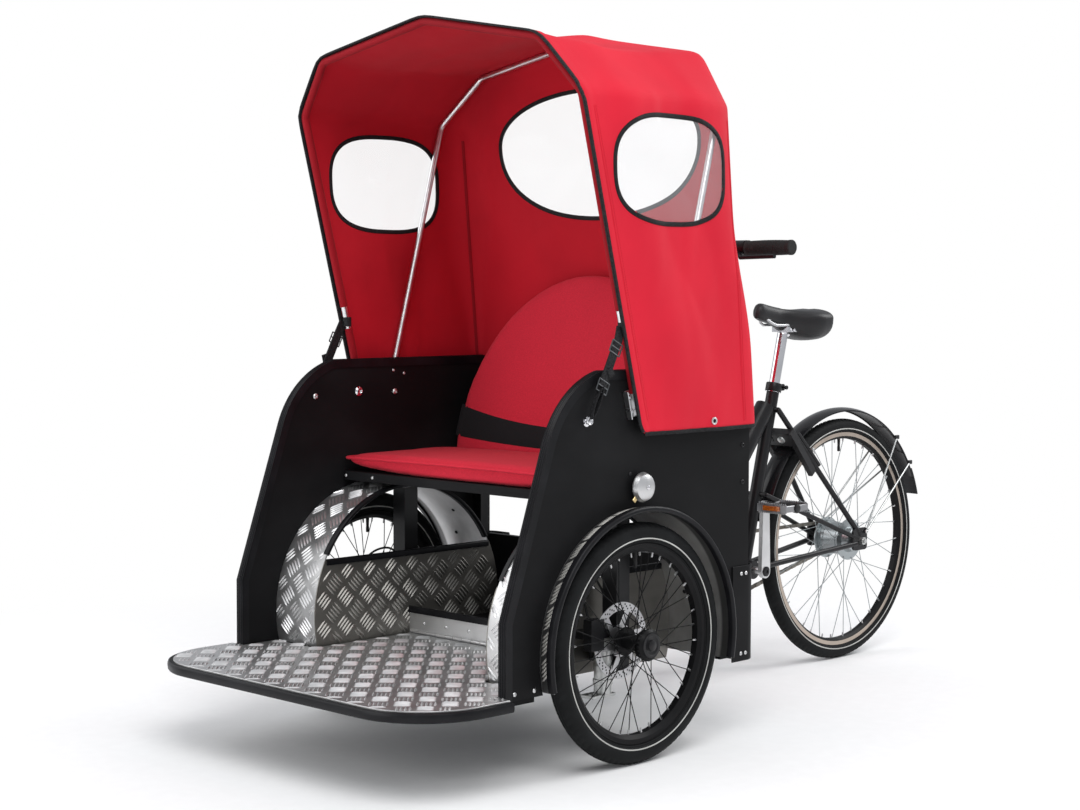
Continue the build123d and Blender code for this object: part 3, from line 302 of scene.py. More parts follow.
def plate(name, colour, roll, dull=0.0, painted_shade_from=None):
    """Rolled aluminium: streaks along the roll, scuffs and grey handling marks.

    The last argument is the distance from the middle beyond which the colour is darkened: painted shade and painted
    reflection of the dark wheel."""
    f = Finish(name)
    streak = f.noise(26.0, 4.0, roll)
    scuff = f.noise(14.0, 6.0)
    fine = f.noise(480.0, 2.0)
    shade = f.mix(streak.step(0.3, 0.75), tint(colour, 0.84), tint(colour, 1.06))
    shade = f.mix(scuff.step(0.52, 0.78) * 0.45, shade, tint(colour, 0.62))
    # painted shade: beyond the side board the plate is darkened for the wheel's shade and its dark reflection
    if painted_shade_from:
        out = f.axes(f.place())[0].size().step(painted_shade_from - 0.004, painted_shade_from + 0.004)
        shade = f.mix(out, shade, tint(colour, 0.26))
    return f.done(Base_Color=shade, Metallic=0.94, Roughness=0.27 + dull + streak * 0.18 + scuff * 0.08,
                  Normal=f.bump(streak + fine * 0.6, 0.10, 0.0006))


def paint(name, colour, gloss=0.3, peel=0.16, shine=0.22):
    """Powder coat with orange peel."""
    return coat(name, colour, 700.0, (7.0, 4.0), (gloss, 0.14), shine, peel, 1.8, (0.45, 0.85),
                Coat_Weight=shine * 0.43, Coat_Roughness=0.15)


def bright_metal(name, colour, rough, spread=0.12, grain=(1, 1, 1)):
    """Chrome, zinc, drawn or turned metal, by its roughness and grain."""
    f = Finish(name)
    cloud = f.noise(18.0, 5.0, grain)
    fine = f.noise(260.0, 3.0, grain)
    shade = f.mix(cloud.step(0.3, 0.8), tint(colour, 0.86), tint(colour, 1.05))
    return f.done(Base_Color=shade, Metallic=1.0, Roughness=rough + cloud * spread,
                  Normal=f.bump(fine, 0.06, 0.0004))


def rubber(name, colour, rough, shine=0.18):
    """Moulded rubber with bloom."""
    return coat(name, colour, 850.0, (16.0, 5.0), (rough, 0.2), shine, 0.2)


def moulded(name, colour, rough, grain=0.15):
    """Moulded plastic or vinyl."""
    return coat(name, colour, 1100.0, (9.0, 4.0), (rough, 0.1), 0.3, grain, 1.6)


def clear_film(name):
    """Clear window film: almost invisible head on, with a soft haze."""
    f = Finish(name)
    haze = f.noise(6.0, 4.0)
    ripple = f.noise(11.0, 3.0)
    material = f.done(Base_Color=(0.93, 0.95, 0.97), Roughness=0.05 + haze * 0.06, Alpha=0.13 + haze * 0.07,
                      Specular_IOR_Level=0.6, Normal=f.bump(ripple, 0.1, 0.004))
    material.surface_render_method = "BLENDED"
    return material


def amber_lens(name):
    f = Finish(name)
    prism = f.noise(160.0, 1.0)
    shade = f.mix(prism.step(0.4, 0.6), (0.30, 0.06, 0.006), (0.46, 0.13, 0.012))
    return f.done(Base_Color=shade, Roughness=0.14 + prism * 0.1, Coat_Weight=0.6,
                  Normal=f.bump(prism, 0.3, 0.0006))


FINISHES = {}


def make_finishes(look):
    """Every finish by name."""
    across_roll, even = (1.0, 0.08, 1.0), (1.0, 1.0, 1.0)
    # the base plate is darker than the plate metal and the bars keep it whole: partly wear polish on the bars, partly
    # painted shade and painted highlight
    plain_metal = tint(look.plate_metal, 0.74)
    FINISHES.update({
        "hood": hood_cloth("hood_cloth", look.hood_red, 0.10),
        # lining: the hood cloth in a darker red, as painted shade inside the hood
        "lining": hood_cloth("hood_lining_painted_shade", look.shaded_lining_red, 0.14),
        # sleeve: the lining red darkened further, as painted shade in the bow's pocket and the hood's inner corners
        "sleeve": hood_cloth("bow_sleeve_painted_shade", tint(look.shaded_lining_red, 0.55), 0.14),
        "seat": upholstery("seat_weave", look.cushion_red, (0, 1)),
        "backrest": upholstery("backrest_weave", look.cushion_red, (0, 2)),
        "band": upholstery("backrest_band", (0.012, 0.012, 0.013), (0, 2)),
        "webbing": webbing("strap_webbing", (0.012, 0.012, 0.013)),
        "binding": webbing("edge_binding", (0.010, 0.010, 0.011)),
        "film": clear_film("window_film"),
        "board": board_film("board_film", look.board_black),
        "plate": plate("chequer_plate", plain_metal, across_roll),
        # the arch plate is darkened outside the side board: painted shade and painted reflection of the wheel
        "arch": plate("arch_plate_painted_shade", plain_metal, across_roll, 0.0, PANEL_OUT),
        # well walls and their bars: darker copies of the chequer plate, as painted shade inside the wheel wells
        "wall": plate("painted_shade_wall_plate", (0.25, 0.24, 0.22), across_roll, 0.10),
        "painted_shade_wall_bars": plate("painted_shade_wall_bars", (0.40, 0.39, 0.365), even, 0.10),
        # bars at the full plate metal: wear polish and painted highlight
        "bars": plate("worn_bars_painted_highlight", look.plate_metal, even),
        "sheet": plate("plain_sheet", tint(look.plate_metal, 0.9), (0.08, 1.0, 1.0)),
        "paint": paint("black_coat", (0.009, 0.009, 0.010)),
        "guard": paint("guard_gloss", (0.008, 0.008, 0.009), 0.12, 0.05),
        "rim": paint("black_anodised", (0.006, 0.006, 0.0065), 0.40, 0.05, 0.10),
        "track": bright_metal("brake_track", (0.55, 0.47, 0.40), 0.34, 0.14),
        "zinc": bright_metal("zinc_plate", (0.60, 0.61, 0.60), 0.30, 0.18),
        "chrome": bright_metal("chrome_plate", (0.80, 0.80, 0.82), 0.07, 0.06),
        "bow": bright_metal("drawn_tube", (0.78, 0.78, 0.79), 0.24, 0.12, (0.4, 0.4, 3.0)),
        "alloy": bright_metal("satin_alloy", (0.70, 0.70, 0.70), 0.30, 0.14),
        "hub": bright_metal("hub_shell", (0.40, 0.43, 0.44), 0.26, 0.16),
        "cage": bright_metal("pedal_cage", (0.34, 0.34, 0.35), 0.30, 0.14),
        "steel": bright_metal("ground_steel", (0.56, 0.56, 0.57), 0.28, 0.16),
        "chain": bright_metal("oiled_chain", (0.30, 0.28, 0.25), 0.34, 0.2),
        "brass": bright_metal("brass_eyelet", (0.78, 0.60, 0.30), 0.28, 0.12),
        "tyre": rubber("tyre_rubber", (0.0075, 0.0080, 0.0084), 0.55, 0.11),
        "line": moulded("pale_line", (0.42, 0.42, 0.40), 0.45),
        "trim": rubber("edge_rubber", (0.006, 0.006, 0.007), 0.26, 0.16),
        "buckle": bright_metal("dark_buckle", (0.10, 0.105, 0.11), 0.34),
        "grip": rubber("grip_rubber", (0.014, 0.014, 0.014), 0.60),
        "vinyl": moulded("saddle_vinyl", (0.014, 0.014, 0.015), 0.36, 0.3),
        "plastic": moulded("black_plastic", (0.014, 0.014, 0.015), 0.40),
        "amber": amber_lens("amber_reflector"),
    })


# Mesh building

class Batch:
    """Collects shapes, each with a finish, into one piece."""

    def __init__(self):
        self.verts, self.faces, self.marks, self.finishes = [], [], [], []

    def add(self, verts, faces, finish):
        if finish not in self.finishes:
            self.finishes.append(finish)
        base, mark = len(self.verts), self.finishes.index(finish)
        self.verts += [tuple(v) for v in verts]
        self.faces += [tuple(base + i for i in face) for face in faces]
        self.marks += [mark] * len(faces)

    def piece(self, name, body, slot=None, sharp=35.0):
        mesh = bpy.data.meshes.new(name)
        mesh.from_pydata(self.verts, [], self.faces)
        for finish in self.finishes:
            mesh.materials.append(FINISHES[finish])
        mesh.polygons.foreach_set("material_index", self.marks)
        mesh.shade_smooth()
        mesh.set_sharp_from_angle(angle=math.radians(sharp))
        mesh.update()
        return settle(bpy.data.objects.new(name, mesh), body)


def settle(piece, body):
    """Puts a piece in the scene, on its body."""
    bpy.context.scene.collection.objects.link(piece)
    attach(piece, body)
    return piece


def cross_axes(axis):
    """Two unit vectors across an axis."""
    axis = axis.normalized()
    first = axis.cross(Z if abs(axis.z) < 0.9 else X).normalized()
    return first, axis.cross(first).normalized()


def lathe(batch, profile, origin, axis, finish, steps=24):
    """Turns (along, radius) points about an axis. A radius of 0 closes the end."""
    axis = axis.normalized()
    a, b = cross_axes(axis)
    rings, verts, faces = [], [], []
    for along, radius in profile:
        mid = origin + axis * along
        count = 1 if radius <= 0 else steps
        rings.append(range(len(verts), len(verts) + count))
        for k in range(count):
            turn = math.tau * k / steps
            verts.append(mid + (a * math.cos(turn) + b * math.sin(turn)) * radius)
    for one, two in zip(rings, rings[1:]):
        for k in range(steps):
            n = (k + 1) % steps
            if len(one) == 1:
                faces.append((one[0], two[n], two[k]))
            elif len(two) == 1:
                faces.append((one[k], one[n], two[0]))
            else:
                faces.append((one[k], one[n], two[n], two[k]))
    batch.add(verts, faces, finish)


def shell(rows, n, closed=False):
    """Faces of a tube of rows of n points, joined end to end or capped at both ends."""
    faces = []
    for r in range(rows if closed else rows - 1):
        q = (r + 1) % rows
        for k in range(n):
            m = (k + 1) % n
            faces.append((r * n + k, r * n + m, q * n + m, q * n + k))
    caps = [tuple(range(n - 1, -1, -1)), tuple((rows - 1) * n + k for k in range(n))]
    return faces if closed else faces + caps


def flipped(faces):
    return [face[::-1] for face in faces]


def sweep(batch, frames, section, finish, closed=False):
    """Carries a closed section of (a, b) along frames of (point, a axis, b axis)."""
    verts = [p + a * s + b * t for p, a, b in frames for s, t in section]
    batch.add(verts, shell(len(frames), len(section), closed), finish)


def tangents(points, closed=False):
    """Each point of a line with the unit vector along the line there."""
    last = len(points) - 1
    for k, p in enumerate(points):
        before = points[k - 1] if k or closed else p
        after = points[(k + 1) % (last + 1)] if k < last or closed else p
        yield p, (after - before).normalized()


def path_frames(points, b_axis, closed=False):
    """Frames along points, with one fixed b axis and the a axis across it and the path."""
    frames = []
    for p, along in tangents(points, closed):
        b = (b_axis - along * b_axis.dot(along)).normalized()
        frames.append((p, b.cross(along).normalized(), b))
    return frames


def hoop(mid, radius, turns, axis=X):
    """Frames about the X axis at turns in degrees: the a axis outwards, the b axis along it."""
    return [(mid + radial(turn) * radius, radial(turn), axis) for turn in turns]


def round_section(radius, steps=10):
    return arc((0, 0), radius, 0, 360, steps)[:-1]


def pill_section(width, height, radius, steps=4):
    """Rectangle with round corners, about its middle."""
    section = []
    for cx, cy, start in ((1, 1, 0), (-1, 1, 90), (-1, -1, 180), (1, -1, 270)):
        mid = (cx * (width / 2 - radius), cy * (height / 2 - radius))
        section += arc(mid, radius, start, start + 90, steps)
    return section


def rod(batch, points, radius, finish, steps=10):
    """Round bar through points."""
    points, frames = [Vector(p) for p in points], []
    a = cross_axes(points[1] - points[0])[0]
    for p, along in tangents(points):
        a = (a - along * a.dot(along)).normalized()
        frames.append((p, a, along.cross(a)))
    sweep(batch, frames, round_section(radius, steps), finish)


def slab(batch, mid, size, finish, bevel=0.001, axes=(X, Y, Z)):
    """Small block with bevelled upright edges and rims."""
    a, b, c = (axis.normalized() for axis in axes)
    w, d, h = size
    ring = pill_section(w, d, min(w, d) * 0.2, 2)
    inner = [(s * (1 - 2 * bevel / w), t * (1 - 2 * bevel / d)) for s, t in ring]
    layers = ((-h / 2, inner), (bevel - h / 2, ring), (h / 2 - bevel, ring), (h / 2, inner))
    verts = [mid + a * s + b * t + c * z for z, layer in layers for s, t in layer]
    batch.add(verts, shell(len(layers), len(ring)), finish)


def bolt(batch, point, normal, radius, finish="alloy", height=None):
    """Button head with a socket."""
    h = height or radius * 0.6
    lathe(batch, [(0, radius), (h * 0.35, radius), (h * 0.8, radius * 0.8), (h, radius * 0.5),
                  (h, radius * 0.42), (h * 0.45, radius * 0.40), (h * 0.4, 0)], point, normal, finish, 14)


def hex_nut(batch, point, normal, radius, height, finish="zinc"):
    lathe(batch, [(0, radius * 1.25), (height * 0.12, radius * 1.25)], point, normal, finish, 16)
    lathe(batch, [(height * 0.1, radius), (height * 0.9, radius), (height, radius * 0.88), (height, 0)],
          point, normal, finish, 6)


def tangent_arc(start, end, heading, count):
    """Points of the arc that leaves start along heading and ends at end, in (y, z)."""
    start, end, heading = Vector(start), Vector(end), Vector(heading).normalized()
    across = Vector((-heading.y, heading.x))
    chord = end - start
    radius = chord.length_squared / (2 * chord.dot(across))
    mid = start + across * radius
    turns = [math.degrees(math.atan2(p.y - mid.y, p.x - mid.x)) for p in (start, end)]
    return arc(mid, abs(radius), *turns, count)


def dress(finish, *nodes):
    """Gives CAD nodes a finish."""
    for node in nodes:
        for entry in NODES[node].material_slots:
            entry.material = FINISHES[finish]


# Boards and edging

TOE_TOP, RAKE_TOP, SHOULDER_BACK = 0.330, (-0.255, 0.672), -0.110
PANEL_FRONT = low("side_panel_left").y - AXLE_Y
PANEL_REAR = high("side_panel_left").y - AXLE_Y


def panel_edge():
    """Front and top edge of a side board in (y, z), from the toe to the rear."""
    heading = (RAKE_TOP[0] - PANEL_FRONT, RAKE_TOP[1] - TOE_TOP)
    toe = [(PANEL_FRONT, z) for z in spread(PANEL_FOOT, TOE_TOP, 4)[:-1]]
    rake = list(zip(spread(PANEL_FRONT, RAKE_TOP[0], 8), spread(TOE_TOP, RAKE_TOP[1], 8)))[:-1]
    shoulder = tangent_arc(RAKE_TOP, (SHOULDER_BACK, PANEL_TOP), heading, 16)
    top = [(y, PANEL_TOP) for y in spread(SHOULDER_BACK, PANEL_REAR, 12)[1:]]
    return toe + rake + shoulder + top


def ribbed_edging(width, depth, lip, ribs, wall=0.0028, rib=0.0009):
    """Channel section: a ribbed outer face, with two lips down the board's faces."""
    half = width / 2
    outer = []
    for s in spread(-1, 1, 4 * ribs):
        crown = math.sqrt(max(0.0, 1 - (s * 0.86) ** 2))
        outer.append((lip * (0.35 + 0.65 * crown) + rib * math.cos(math.tau * ribs * (s + 1) / 2), s * half))
    return outer + [(-depth, half), (-depth, half - wall), (0.0, half - wall), (0.0, wall - half),
                    (-depth, wall - half), (-depth, -half)]


# bolts of a side board as (behind the axle, height, radius, finish), on its outer and inner face
OUTER_BOLTS = ((-0.350, 0.193, 0.0045, "alloy"), (-0.296, 0.193, 0.0045, "alloy"), (0.342, 0.560, 0.005, "paint"),
               (0.342, 0.640, 0.005, "paint"), (-0.020, 0.600, 0.004, "paint"))
INNER_BOLTS = ((-0.165, 0.731, 0.007, "alloy"), (-0.037, 0.738, 0.012, "chrome"), (0.074, 0.734, 0.007, "alloy"),
               (0.070, 0.784, 0.0035, "alloy"), (0.103, 0.776, 0.0035, "alloy"))


class TRICYCLE_OT_boards(bpy.types.Operator):
    """Boards: film finish, ribbed edging, corner skirts and screws"""
    bl_idname = "tricycle.boards"
    bl_label = "Boards and edging"

    def execute(self, context):
        dress("board", "side_panel_left", "side_panel_right", "rear_floor", "rear_lower_panel", "rear_upper_panel",
              "seat_board", "backrest_board")
        thick = PANEL_OUT - PANEL_IN
        for name, side in SIDES:
            out = X * side
            points = [Vector((side * (PANEL_IN + thick / 2), back(y), z)) for y, z in panel_edge()]
            frames = [(p, a * side, b) for p, a, b in path_frames(points, out)]
            edging = Batch()
            sweep(edging, frames, ribbed_edging(thick + 0.006, 0.014, 0.0052, 4), "trim")
            edging.piece(f"panel_edging_{name}", "cabin", "black_board")
            screws = Batch()
            for bolts, x, way in ((OUTER_BOLTS, PANEL_OUT, out), (INNER_BOLTS, PANEL_IN, -out)):
                for y, z, r, metal in bolts:
                    bolt(screws, Vector((side * x, back(y), z)), way, r, metal)
            screws.piece(f"panel_screws_{name}", "cabin", "zinc")
        self.skirts()
        return {"FINISHED"}

    def skirts(self):
        """Bent black skirt round each lower rear corner, with its bolts."""
        z0, z1, t, r, reach = 0.168, high("rear_lower_panel").z, 0.003, 0.036, 0.030
        x, y = PANEL_OUT + t / 2 + 0.0004, PANEL_REAR + reach
        line = [(x, y - 0.086), (x, y - 0.052)] + arc((x - r, y - r), r, 0, 90, 9)
        line += [(x - 0.075, y), (x - 0.080, y - 0.004), (x - 0.080, y - reach + t)]
        for name, side in SIDES:
            skirt = Batch()
            points = [Vector((side * px, back(py), (z0 + z1) / 2)) for px, py in line]
            sweep(skirt, path_frames(points, Z), pill_section(t, z1 - z0, t * 0.45), "board")
            for z in (z0 + 0.017, z1 - 0.017):
                for shift in (0.042, 0.058):
                    bolt(skirt, Vector((side * (x + t / 2), back(y - shift), z)), X * side, 0.0042, "alloy")
            skirt.piece(f"corner_skirt_{name}", "cabin", "black_board")


# Chequer plate and sheet metal

BAR_HEIGHT, BARS = 0.0020, 5
# shares of a cell
BAR_LENGTH, BAR_WIDTH, BAR_PITCH = 0.76, 0.118, 0.185
HALF_TURN = math.sqrt(0.5)


def raised_bar(batch, surface, place, way, size, finish):
    """One lens-shaped bar, at half a right angle to the surface's axes."""
    s, t = place
    length, width = size
    outline = ((-1, 0), (-0.55, -1), (0.55, -1), (1, 0), (0.55, 1), (-0.55, 1))
    verts = []
    for p, q, h in [(p, q, 0.0) for p, q in outline] + [(-0.6, 0, 1.0), (0.6, 0, 1.0)]:
        along, across = p * length / 2 * HALF_TURN, q * width / 2 * HALF_TURN
        point, normal = surface(s + along * way - across, t + along + across * way)
        verts.append(point + normal * (h * BAR_HEIGHT))
    faces = [(0, 1, 6), (1, 2, 7, 6), (2, 3, 7), (3, 4, 7), (4, 5, 6, 7), (5, 0, 6)]
    batch.add(verts, flipped(faces) if way < 0 else faces, finish)


def chequer(batch, surface, reach, fits, cell, finish="bars"):
    """Groups of five lens-shaped bars on a surface of (s, t), turned by half a right angle.

    surface gives a point and its outward normal, fits says whether a bar's middle lies on the sheet."""
    count = int(reach / cell) + 2
    for i in range(-count, count):
        for j in range(-count, count):
            along_u = (i + j) % 2 == 0
            for k in range(BARS):
                shift = (k - (BARS - 1) / 2) * cell * BAR_PITCH
                u, v = ((0, shift) if along_u else (shift, 0))
                u, v = (i + 0.5) * cell + u, (j + 0.5) * cell + v
                s, t = (u - v) * HALF_TURN, (u + v) * HALF_TURN
                if fits(s, t):
                    size = (cell * BAR_LENGTH, cell * BAR_WIDTH)
                    raised_bar(batch, surface, (s, t), 1 if along_u else -1, size, finish)


def edge_channel(width, depth):
    """Push-on edging with a round back, about the sheet's edge."""
    half = width / 2
    back_arc = [(a * 0.8, b) for a, b in arc((0, 0), half, -90, 86, 8)]
    return back_arc + [(-depth, half), (-depth, -half)]


DECK_HALF, DECK_CORNER, DECK_LIP = 0.450, 0.165, 0.008
DECK_LEDGE = back(-0.378)


def deck_half(y):
    """Half width of the footboard at a place along it: wide ahead of the boards, narrow between the wheel wells."""
    if y <= DECK_LEDGE:
        return DECK_HALF
    return PANEL_IN - 0.0003 if y < back(-ARCH_R) else WELL_X - 0.0033


def deck_outline(inset):
    """Plan of the footboard in (x, y), from its left rear corner round its front to the right."""
    lo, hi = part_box("footboard")
    wide, front, r = DECK_HALF - inset, lo[1] + inset, DECK_CORNER - inset
    step = back(-ARCH_R) - 0.0003 - inset
    half = [(WELL_X - 0.0033 - inset, hi[1]), (WELL_X - 0.0033 - inset, step), (PANEL_IN - 0.0003 - inset, step),
            (PANEL_IN - 0.0003 - inset, DECK_LEDGE + 0.0001), (wide, DECK_LEDGE)]
    half += [(x, 2 * (front + r) - y) for x, y in arc((wide - r, front + r), r, 0, 90, 15)]
    return half + [(-x, y) for x, y in reversed(half)]


def prism(batch, rings, finish):
    """Closed solid through outlines of the same count, each at its height."""
    verts = [Vector((x, y, z)) for outline, z in rings for x, y in outline]
    batch.add(verts, flipped(shell(len(rings), len(rings[0][0]))), finish)


class TRICYCLE_OT_plates(bpy.types.Operator):
    """Chequer plate: raised bars, black edging, hinge and rivets"""
    bl_idname = "tricycle.plates"
    bl_label = "Chequer plate"

    def execute(self, context):
        cell = context.scene.tricycle_look.chequer_cell
        dress("arch", "wheel_arches")
        # the well walls take the darker wall plate: painted shade
        dress("wall", "well_walls")
        dress("sheet", "threshold_riser")
        self.footboard(cell)
        self.arches(cell)
        self.walls(cell)
        self.riser()
        return {"FINISHED"}

    def footboard(self, cell):
        lo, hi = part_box("footboard")
        plate_low, round_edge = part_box("footboard_plate")[0][2], 0.0006
        deck = Batch()
        prism(deck, [(deck_outline(0.0), lo[2]), (deck_outline(0.0), plate_low - 0.0004)], "board")
        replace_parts(deck.piece("footboard_deck", "cabin", "black_board"), "footboard")
        sheet = Batch()
        prism(sheet, [(deck_outline(DECK_LIP), plate_low), (deck_outline(DECK_LIP), PLATE_TOP - round_edge),
                      (deck_outline(DECK_LIP + round_edge), PLATE_TOP)], "plate")
        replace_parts(sheet.piece("footboard_sheet", "cabin", "chequer_plate"), "footboard_plate")

        def fits(s, t):
            y, edge = back(t), DECK_LIP + 0.010
            if not lo[1] + edge < y < hi[1] - edge or abs(s) > deck_half(y) - edge:
                return False
            dx, dy = abs(s) - (DECK_HALF - DECK_CORNER), lo[1] + DECK_CORNER - y
            return not (dx > 0 and dy > 0 and math.hypot(dx, dy) > DECK_CORNER - edge)

        bars = Batch()
        chequer(bars, lambda s, t: (Vector((s, back(t), PLATE_TOP)), Z), 1.2, fits, cell)
        bars.piece("footboard_chequer", "cabin", "chequer_plate", 60)
        mid_z, half_h = (lo[2] + PLATE_TOP) / 2, (PLATE_TOP - lo[2]) / 2
        line = [Vector((x, y, mid_z)) for x, y in deck_outline(0.0) if y <= DECK_LEDGE]
        section = [(0.0036, -half_h + 0.003), (0.0044, 0.0), (0.0036, half_h - 0.006), (0.0024, half_h - 0.0035),
                   (-0.0002, half_h - 0.0030), (-0.0002, -half_h + 0.001), (0.0014, -half_h)]
        trim = Batch()
        sweep(trim, path_frames(line, Z), section, "trim")
        trim.piece("footboard_edging", "cabin", "black_board")

    def arches(self, cell):
        start, end = -12.6, 192.6
        wide = ARCH_OUT - WELL_X
        sweep_len = math.radians(end - start) * ARCH_R
        wall_turn = math.degrees(math.asin((WELL_TOP - FRONT_R) / ARCH_R))
        # the chequer lies inside the side board, one row of bars outside it
        inside, outside, rim = PANEL_IN - WELL_X - 0.002, PANEL_OUT - WELL_X + 0.002, wide - 0.007
        row, row_pitch = (outside + rim) / 2, cell * 1.12
        row_bar = ((rim - 0.002 - outside) / HALF_TURN, cell * BAR_WIDTH)
        axle = Vector((0, AXLE_Y, FRONT_R))
        for name, side in SIDES:
            def surface(s, t):
                low_s, high_s = (0.002, inside) if s < (inside + outside) / 2 else (outside, rim)
                out = radial(start + math.degrees(min(sweep_len - 0.002, max(0.002, t)) / ARCH_R))
                return axle + X * side * (WELL_X + min(high_s, max(low_s, s))) + out * ARCH_R, out

            def within(s, t):
                return 0.004 < s < inside - 0.004 and 0.006 < t < sweep_len - 0.006

            bars = Batch()
            chequer(bars, surface, wide + sweep_len, within, cell)
            # the row of bars outside the side board takes the darker wall bars: painted shade of the wheel
            for group in range(int(sweep_len / row_pitch)):
                for k in range(BARS):
                    t = 0.022 + group * row_pitch + k * cell * BAR_PITCH
                    raised_bar(bars, surface, (row, t), -1, row_bar, "painted_shade_wall_bars")
            if side < 0:
                bars.faces = flipped(bars.faces)
            bars.piece(f"arch_chequer_{name}", "cabin", "chequer_plate", 60)
            trim = Batch()
            edges = ((ARCH_OUT, X * side, start, end, (0.0125, 0.010)),
                     (WELL_X, -X * side, wall_turn + 3, 177 - wall_turn, (0.0095, 0.009)))
            for x, way, first, last, size in edges:
                frames = hoop(axle + X * side * x, ARCH_R - 0.0015, spread(first, last, 48))
                sweep(trim, [(p, way, out) for p, out, _ in frames], edge_channel(*size), "trim")
            trim.piece(f"arch_edging_{name}", "cabin", "black_board")
            rivets = Batch()
            for turn, shift in ((14, 0.05), (30, 0.10), (46, 0.06), (134, 0.05), (150, 0.10), (166, 0.05)):
                out = radial(turn)
                mid = axle + X * side * (WELL_X + shift) + out * (ARCH_R - 0.003)
                bolt(rivets, mid, -out, 0.0045, "paint", 0.002)
            rivets.piece(f"arch_rivets_{name}", "cabin", "zinc")

    def walls(self, cell):
        foot, face_x = low("well_walls").z + 0.02, WELL_X - 0.003
        reach = math.sqrt(ARCH_R**2 - (WELL_TOP - FRONT_R) ** 2) - 0.004

        def fits(s, t):
            by_carrier = 0.010 < s < 0.068 and t < 0.250
            if by_carrier or not foot + 0.008 < t < WELL_TOP - 0.016:
                return False
            return math.hypot(s, t - FRONT_R) < ARCH_R - cell * BAR_LENGTH * HALF_TURN / 2

        for name, side in SIDES:
            bars = Batch()
            # darker wall bars: painted shade inside the wheel well
            chequer(bars, lambda s, t: (Vector((side * face_x, back(s), t)), -X * side), 1.4, fits, cell, "painted_shade_wall_bars")
            if side > 0:
                bars.faces = flipped(bars.faces)
            bars.piece(f"wall_chequer_{name}", "cabin", "chequer_plate", 60)
            points = [Vector((side * (WELL_X - 0.0015), back(y), WELL_TOP)) for y in spread(-reach, reach, 8)]
            trim = Batch()
            sweep(trim, [(p, Z, X) for p in points], edge_channel(0.0095, 0.010), "trim")
            trim.piece(f"wall_edging_{name}", "cabin", "black_board")

    def riser(self):
        lo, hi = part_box("threshold_riser")
        trim = Batch()
        points = [Vector((x, (lo[1] + hi[1]) / 2, hi[2])) for x in spread(lo[0], hi[0], 8)]
        sweep(trim, [(p, Z, Y) for p in points], edge_channel(0.010, 0.011), "trim")
        trim.piece("riser_edging", "cabin", "black_board")
        hinge = Batch()
        z, radius, knuckles = PLATE_TOP + 0.005, 0.0042, 18
        pitch = (hi[0] - lo[0] - 0.02) / knuckles
        for k in range(knuckles):
            lathe(hinge, [(0, 0), (0, radius), (pitch * 0.96, radius), (pitch * 0.96, 0)],
                  Vector((lo[0] + 0.01 + k * pitch, lo[1] - 0.0045, z)), X, "sheet", 10)
        for x in spread(lo[0] + 0.05, hi[0] - 0.05, 6):
            bolt(hinge, Vector((x, lo[1], z + 0.020)), -Y, 0.0038, "alloy")
        hinge.piece("riser_hinge", "cabin", "plain_sheet")


# Hood

FRONT_FOOT, FRONT_RAKE, PEAK = -0.008, math.tan(math.radians(14.5)), 0.023
REAR_FOOT, REAR_LEAN = 0.386, math.tan(math.radians(5.25))
EAVE_RISE, EAVE_IN = 0.118, 0.100
EAVE_X, EAVE = HOOD_X - EAVE_IN, SHOULDER + EAVE_RISE
SIDE_WINDOW = {"y": 0.076, "z": SHOULDER - 0.148, "half_w": 0.163, "half_h": 0.107}
REAR_WINDOW = {"z": SHOULDER - 0.060, "half_w": 0.308, "half_h": 0.120, "half_low": 0.166}
SIDE_ROWS, SLOPE_ROWS, ROOF_ROWS, DEPTH_COLUMNS = 66, 15, 34, 52
SLEEVE, CORNER = 0.030, 0.05
# straight runs of the left half of the cross-section, as two ends (x, z) and a count of rows
HOOD_RUNS = (((HOOD_X, HOOD_HEM), (HOOD_X, SHOULDER), SIDE_ROWS), ((HOOD_X, SHOULDER), (EAVE_X, EAVE), SLOPE_ROWS),
             ((EAVE_X, EAVE), (0.0, HOOD_RIDGE), ROOF_ROWS))


def over_eave(z):
    """0 up to the shoulder, 1 from the eave on."""
    return unit((z - SHOULDER) / EAVE_RISE)


def hood_front_y(z):
    """Front edge of the hood at a height, behind the axle."""
    return FRONT_FOOT - (min(z, SHOULDER) - HOOD_HEM) * FRONT_RAKE - PEAK * over_eave(z)


def hood_rear_y(z):
    return REAR_FOOT - (z - HOOD_HEM) * REAR_LEAN


def hood_arch():
    """Cross-section from the left hem over the ridge to the right hem, as (x, z)."""
    half = [(HOOD_X, HOOD_HEM)]
    for (x0, z0), (x1, z1), count in HOOD_RUNS:
        half += list(zip(spread(x0, x1, count), spread(z0, z1, count)))[1:]
    return half + [(-x, z) for x, z in reversed(half[:-1])]


def side_window(y, z):
    """Below 1 inside the side window: a broad round-cornered pane, a little squarer at its rear."""
    w = SIDE_WINDOW
    s, t = (y - back(w["y"])) / w["half_w"], (z - w["z"]) / w["half_h"]
    s += 0.03 * t
    power = 3.1 if s > 0 else 2.7
    return (abs(s) ** power + abs(t) ** power) ** (1 / power)


def rear_window(x, z):
    """Below 1 inside the rear window: an egg shape, deeper below its widest line."""
    w = REAR_WINDOW
    s, t = x / w["half_w"], (z - w["z"]) / (w["half_h"] if z > w["z"] else w["half_low"])
    return (abs(s) ** 2.15 + abs(t) ** 2.15) ** (1 / 2.15)


def window_ring(inside, mid, half_w, half_h, count=120):
    """Outline of a window, found from its middle outwards."""
    ring = []
    for k in range(count):
        turn = math.tau * k / count
        way = (math.cos(turn) * half_w, math.sin(turn) * half_h)
        near, far = 0.2, 1.8
        for _ in range(24):
            share = (near + far) / 2
            if inside(mid[0] + way[0] * share, mid[1] + way[1] * share) < 1:
                near = share
            else:
                far = share
        ring.append((mid[0] + way[0] * near, mid[1] + way[1] * near))
    return ring


